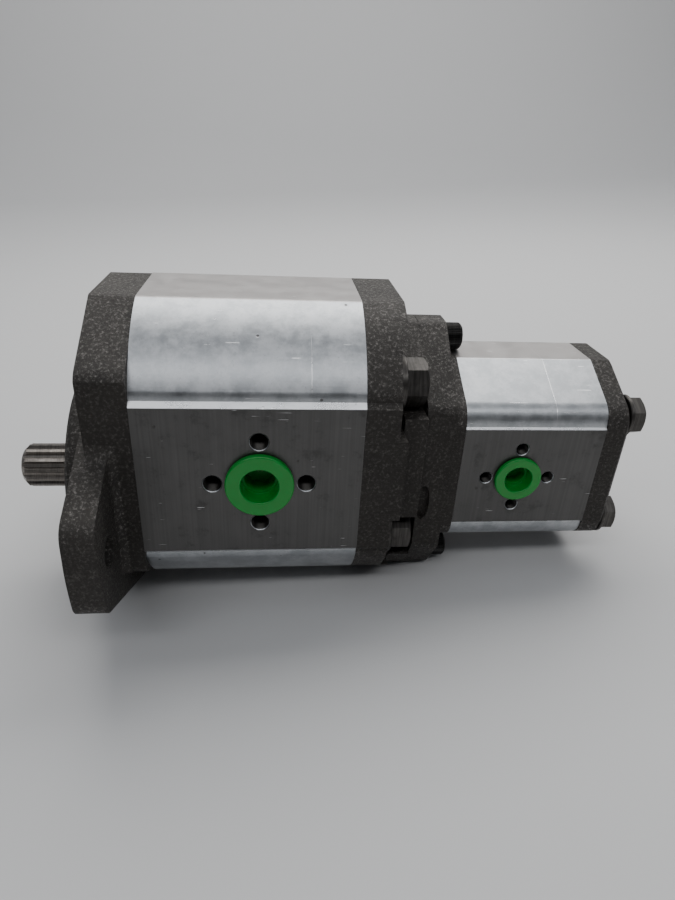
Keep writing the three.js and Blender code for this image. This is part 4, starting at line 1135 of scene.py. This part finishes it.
def build_floor():
    """A pale floor under the flange and the rear pump's lower lobes, curving up far behind."""
    front = to_row(EAR_BACK_X, 0, -FLANGE_RADIUS)
    rear = to_row(REAR_FLANGE_BACK_X, 0, LOBE_BOTTOM[1])
    slope = math.atan2(rear.z - front.z, rear.x - front.x)
    bend_y, bend_radius, half_length, wall_height = 1.7, 1.0, 7, 5
    profile = [(-half_length, 0)]
    for i in range(25):
        angle = math.pi / 2 * i / 24
        profile.append((bend_y + bend_radius * math.sin(angle), bend_radius * (1 - math.cos(angle))))
    profile.append((bend_y + bend_radius, wall_height))
    mesh = bmesh.new()
    rows = [[mesh.verts.new((x, y, z)) for y, z in profile] for x in (-half_length, half_length)]
    for i in range(len(profile) - 1):
        mesh.faces.new((rows[0][i], rows[1][i], rows[1][i + 1], rows[0][i + 1]))
    floor = new_object("floor", mesh)
    floor.data.shade_smooth()
    floor.location = front - Vector((0, 0, 0.0002))
    floor.rotation_euler = (0, -slope, 0)
    material = bpy.data.materials.new("floor")
    material.use_nodes = True
    shader = material.node_tree.nodes["Principled BSDF"]
    shader.inputs["Base Color"].default_value = (0.60, 0.60, 0.60, 1)
    shader.inputs["Roughness"].default_value = 0.85
    floor.data.materials.append(material)


def build_world():
    """A soft room: bright above and behind the pump, dim on the viewer's side."""
    world = bpy.data.worlds.new("room")
    bpy.context.scene.world = world
    world.use_nodes = True
    nodes = world.node_tree.nodes
    links = world.node_tree.links
    background = nodes["Background"]
    direction = nodes.new("ShaderNodeTexCoord").outputs["Generated"]
    dot = nodes.new("ShaderNodeVectorMath")
    dot.operation = "DOT_PRODUCT"
    dot.inputs[1].default_value = (0.0, 0.72, 0.69)
    links.new(direction, dot.inputs[0])
    ramp = nodes.new("ShaderNodeValToRGB")
    ramp.color_ramp.elements[0].position = 0.0
    ramp.color_ramp.elements[0].color = (0.022, 0.022, 0.024, 1)
    ramp.color_ramp.elements[1].position = 1.0
    ramp.color_ramp.elements[1].color = (0.62, 0.65, 0.70, 1)
    spread = nodes.new("ShaderNodeMath")
    spread.operation = "MULTIPLY_ADD"
    spread.inputs[1].default_value = 0.75
    spread.inputs[2].default_value = 0.25
    links.new(dot.outputs["Value"], spread.inputs[0])
    links.new(spread.outputs["Value"], ramp.inputs["Fac"])
    links.new(ramp.outputs["Color"], background.inputs["Color"])
    background.inputs["Strength"].default_value = 0.9


def add_area_light(name, place, target, size, power, colour=(1, 1, 1)):
    light = bpy.data.lights.new(name, "AREA")
    light.shape = "RECTANGLE"
    light.size, light.size_y = size
    light.energy = power
    light.color = colour
    lamp = bpy.data.objects.new(name, light)
    bpy.context.scene.collection.objects.link(lamp)
    lamp.location = place
    facing = (Vector(target) - Vector(place)).normalized()
    across = Vector((1, 0, 0))
    up = across.cross(facing).normalized()
    across = facing.cross(up)
    lamp.rotation_euler = Matrix((across, up, -facing)).transposed().to_euler()


def build_lights():
    """A large soft light above and behind, one on the backdrop, a narrow one over the viewer's head."""
    centre = to_row(100, 0, 20)
    wall = centre + Vector((0, 2.6, 0.7))
    add_area_light("ceiling", centre + Vector((0.1, 0.5, 0.95)), centre,
                   size=(1.3, 0.8), power=13, colour=(1.0, 0.99, 0.97))
    add_area_light("backdrop", centre + Vector((0, 1.1, 1.7)), wall,
                   size=(3.0, 0.8), power=34)
    add_area_light("strip", centre + Vector((-0.05, -0.66, 0.80)), centre,
                   size=(1.5, 0.14), power=3.6, colour=(0.97, 0.98, 1.0))


def build_camera():
    """Above the near side, a little to the front of the middle, turned slightly to the rear."""
    camera = bpy.data.objects.new("camera", bpy.data.cameras.new("camera"))
    bpy.context.scene.collection.objects.link(camera)
    camera.data.lens = CAMERA["lens"]
    camera.data.sensor_width = CAMERA["sensor"]
    camera.data.clip_start = 0.01
    heading = Matrix.Rotation(math.radians(CAMERA_ANGLES["heading"]), 3, "Z")
    tilt = Matrix.Rotation(math.radians(90 - CAMERA_ANGLES["down"]), 3, "X")
    roll = Matrix.Rotation(math.radians(CAMERA_ANGLES["roll"]), 3, "Z")
    place = Matrix.Translation(to_row(*CAMERA["place"]))
    camera.matrix_world = place @ (heading @ tilt @ roll).to_4x4()
    bpy.context.scene.camera = camera


finish_cad_nodes()
build_castings()
build_plugs()
build_drive_shaft()
build_fasteners()
build_floor()
build_world()
build_lights()
build_camera()
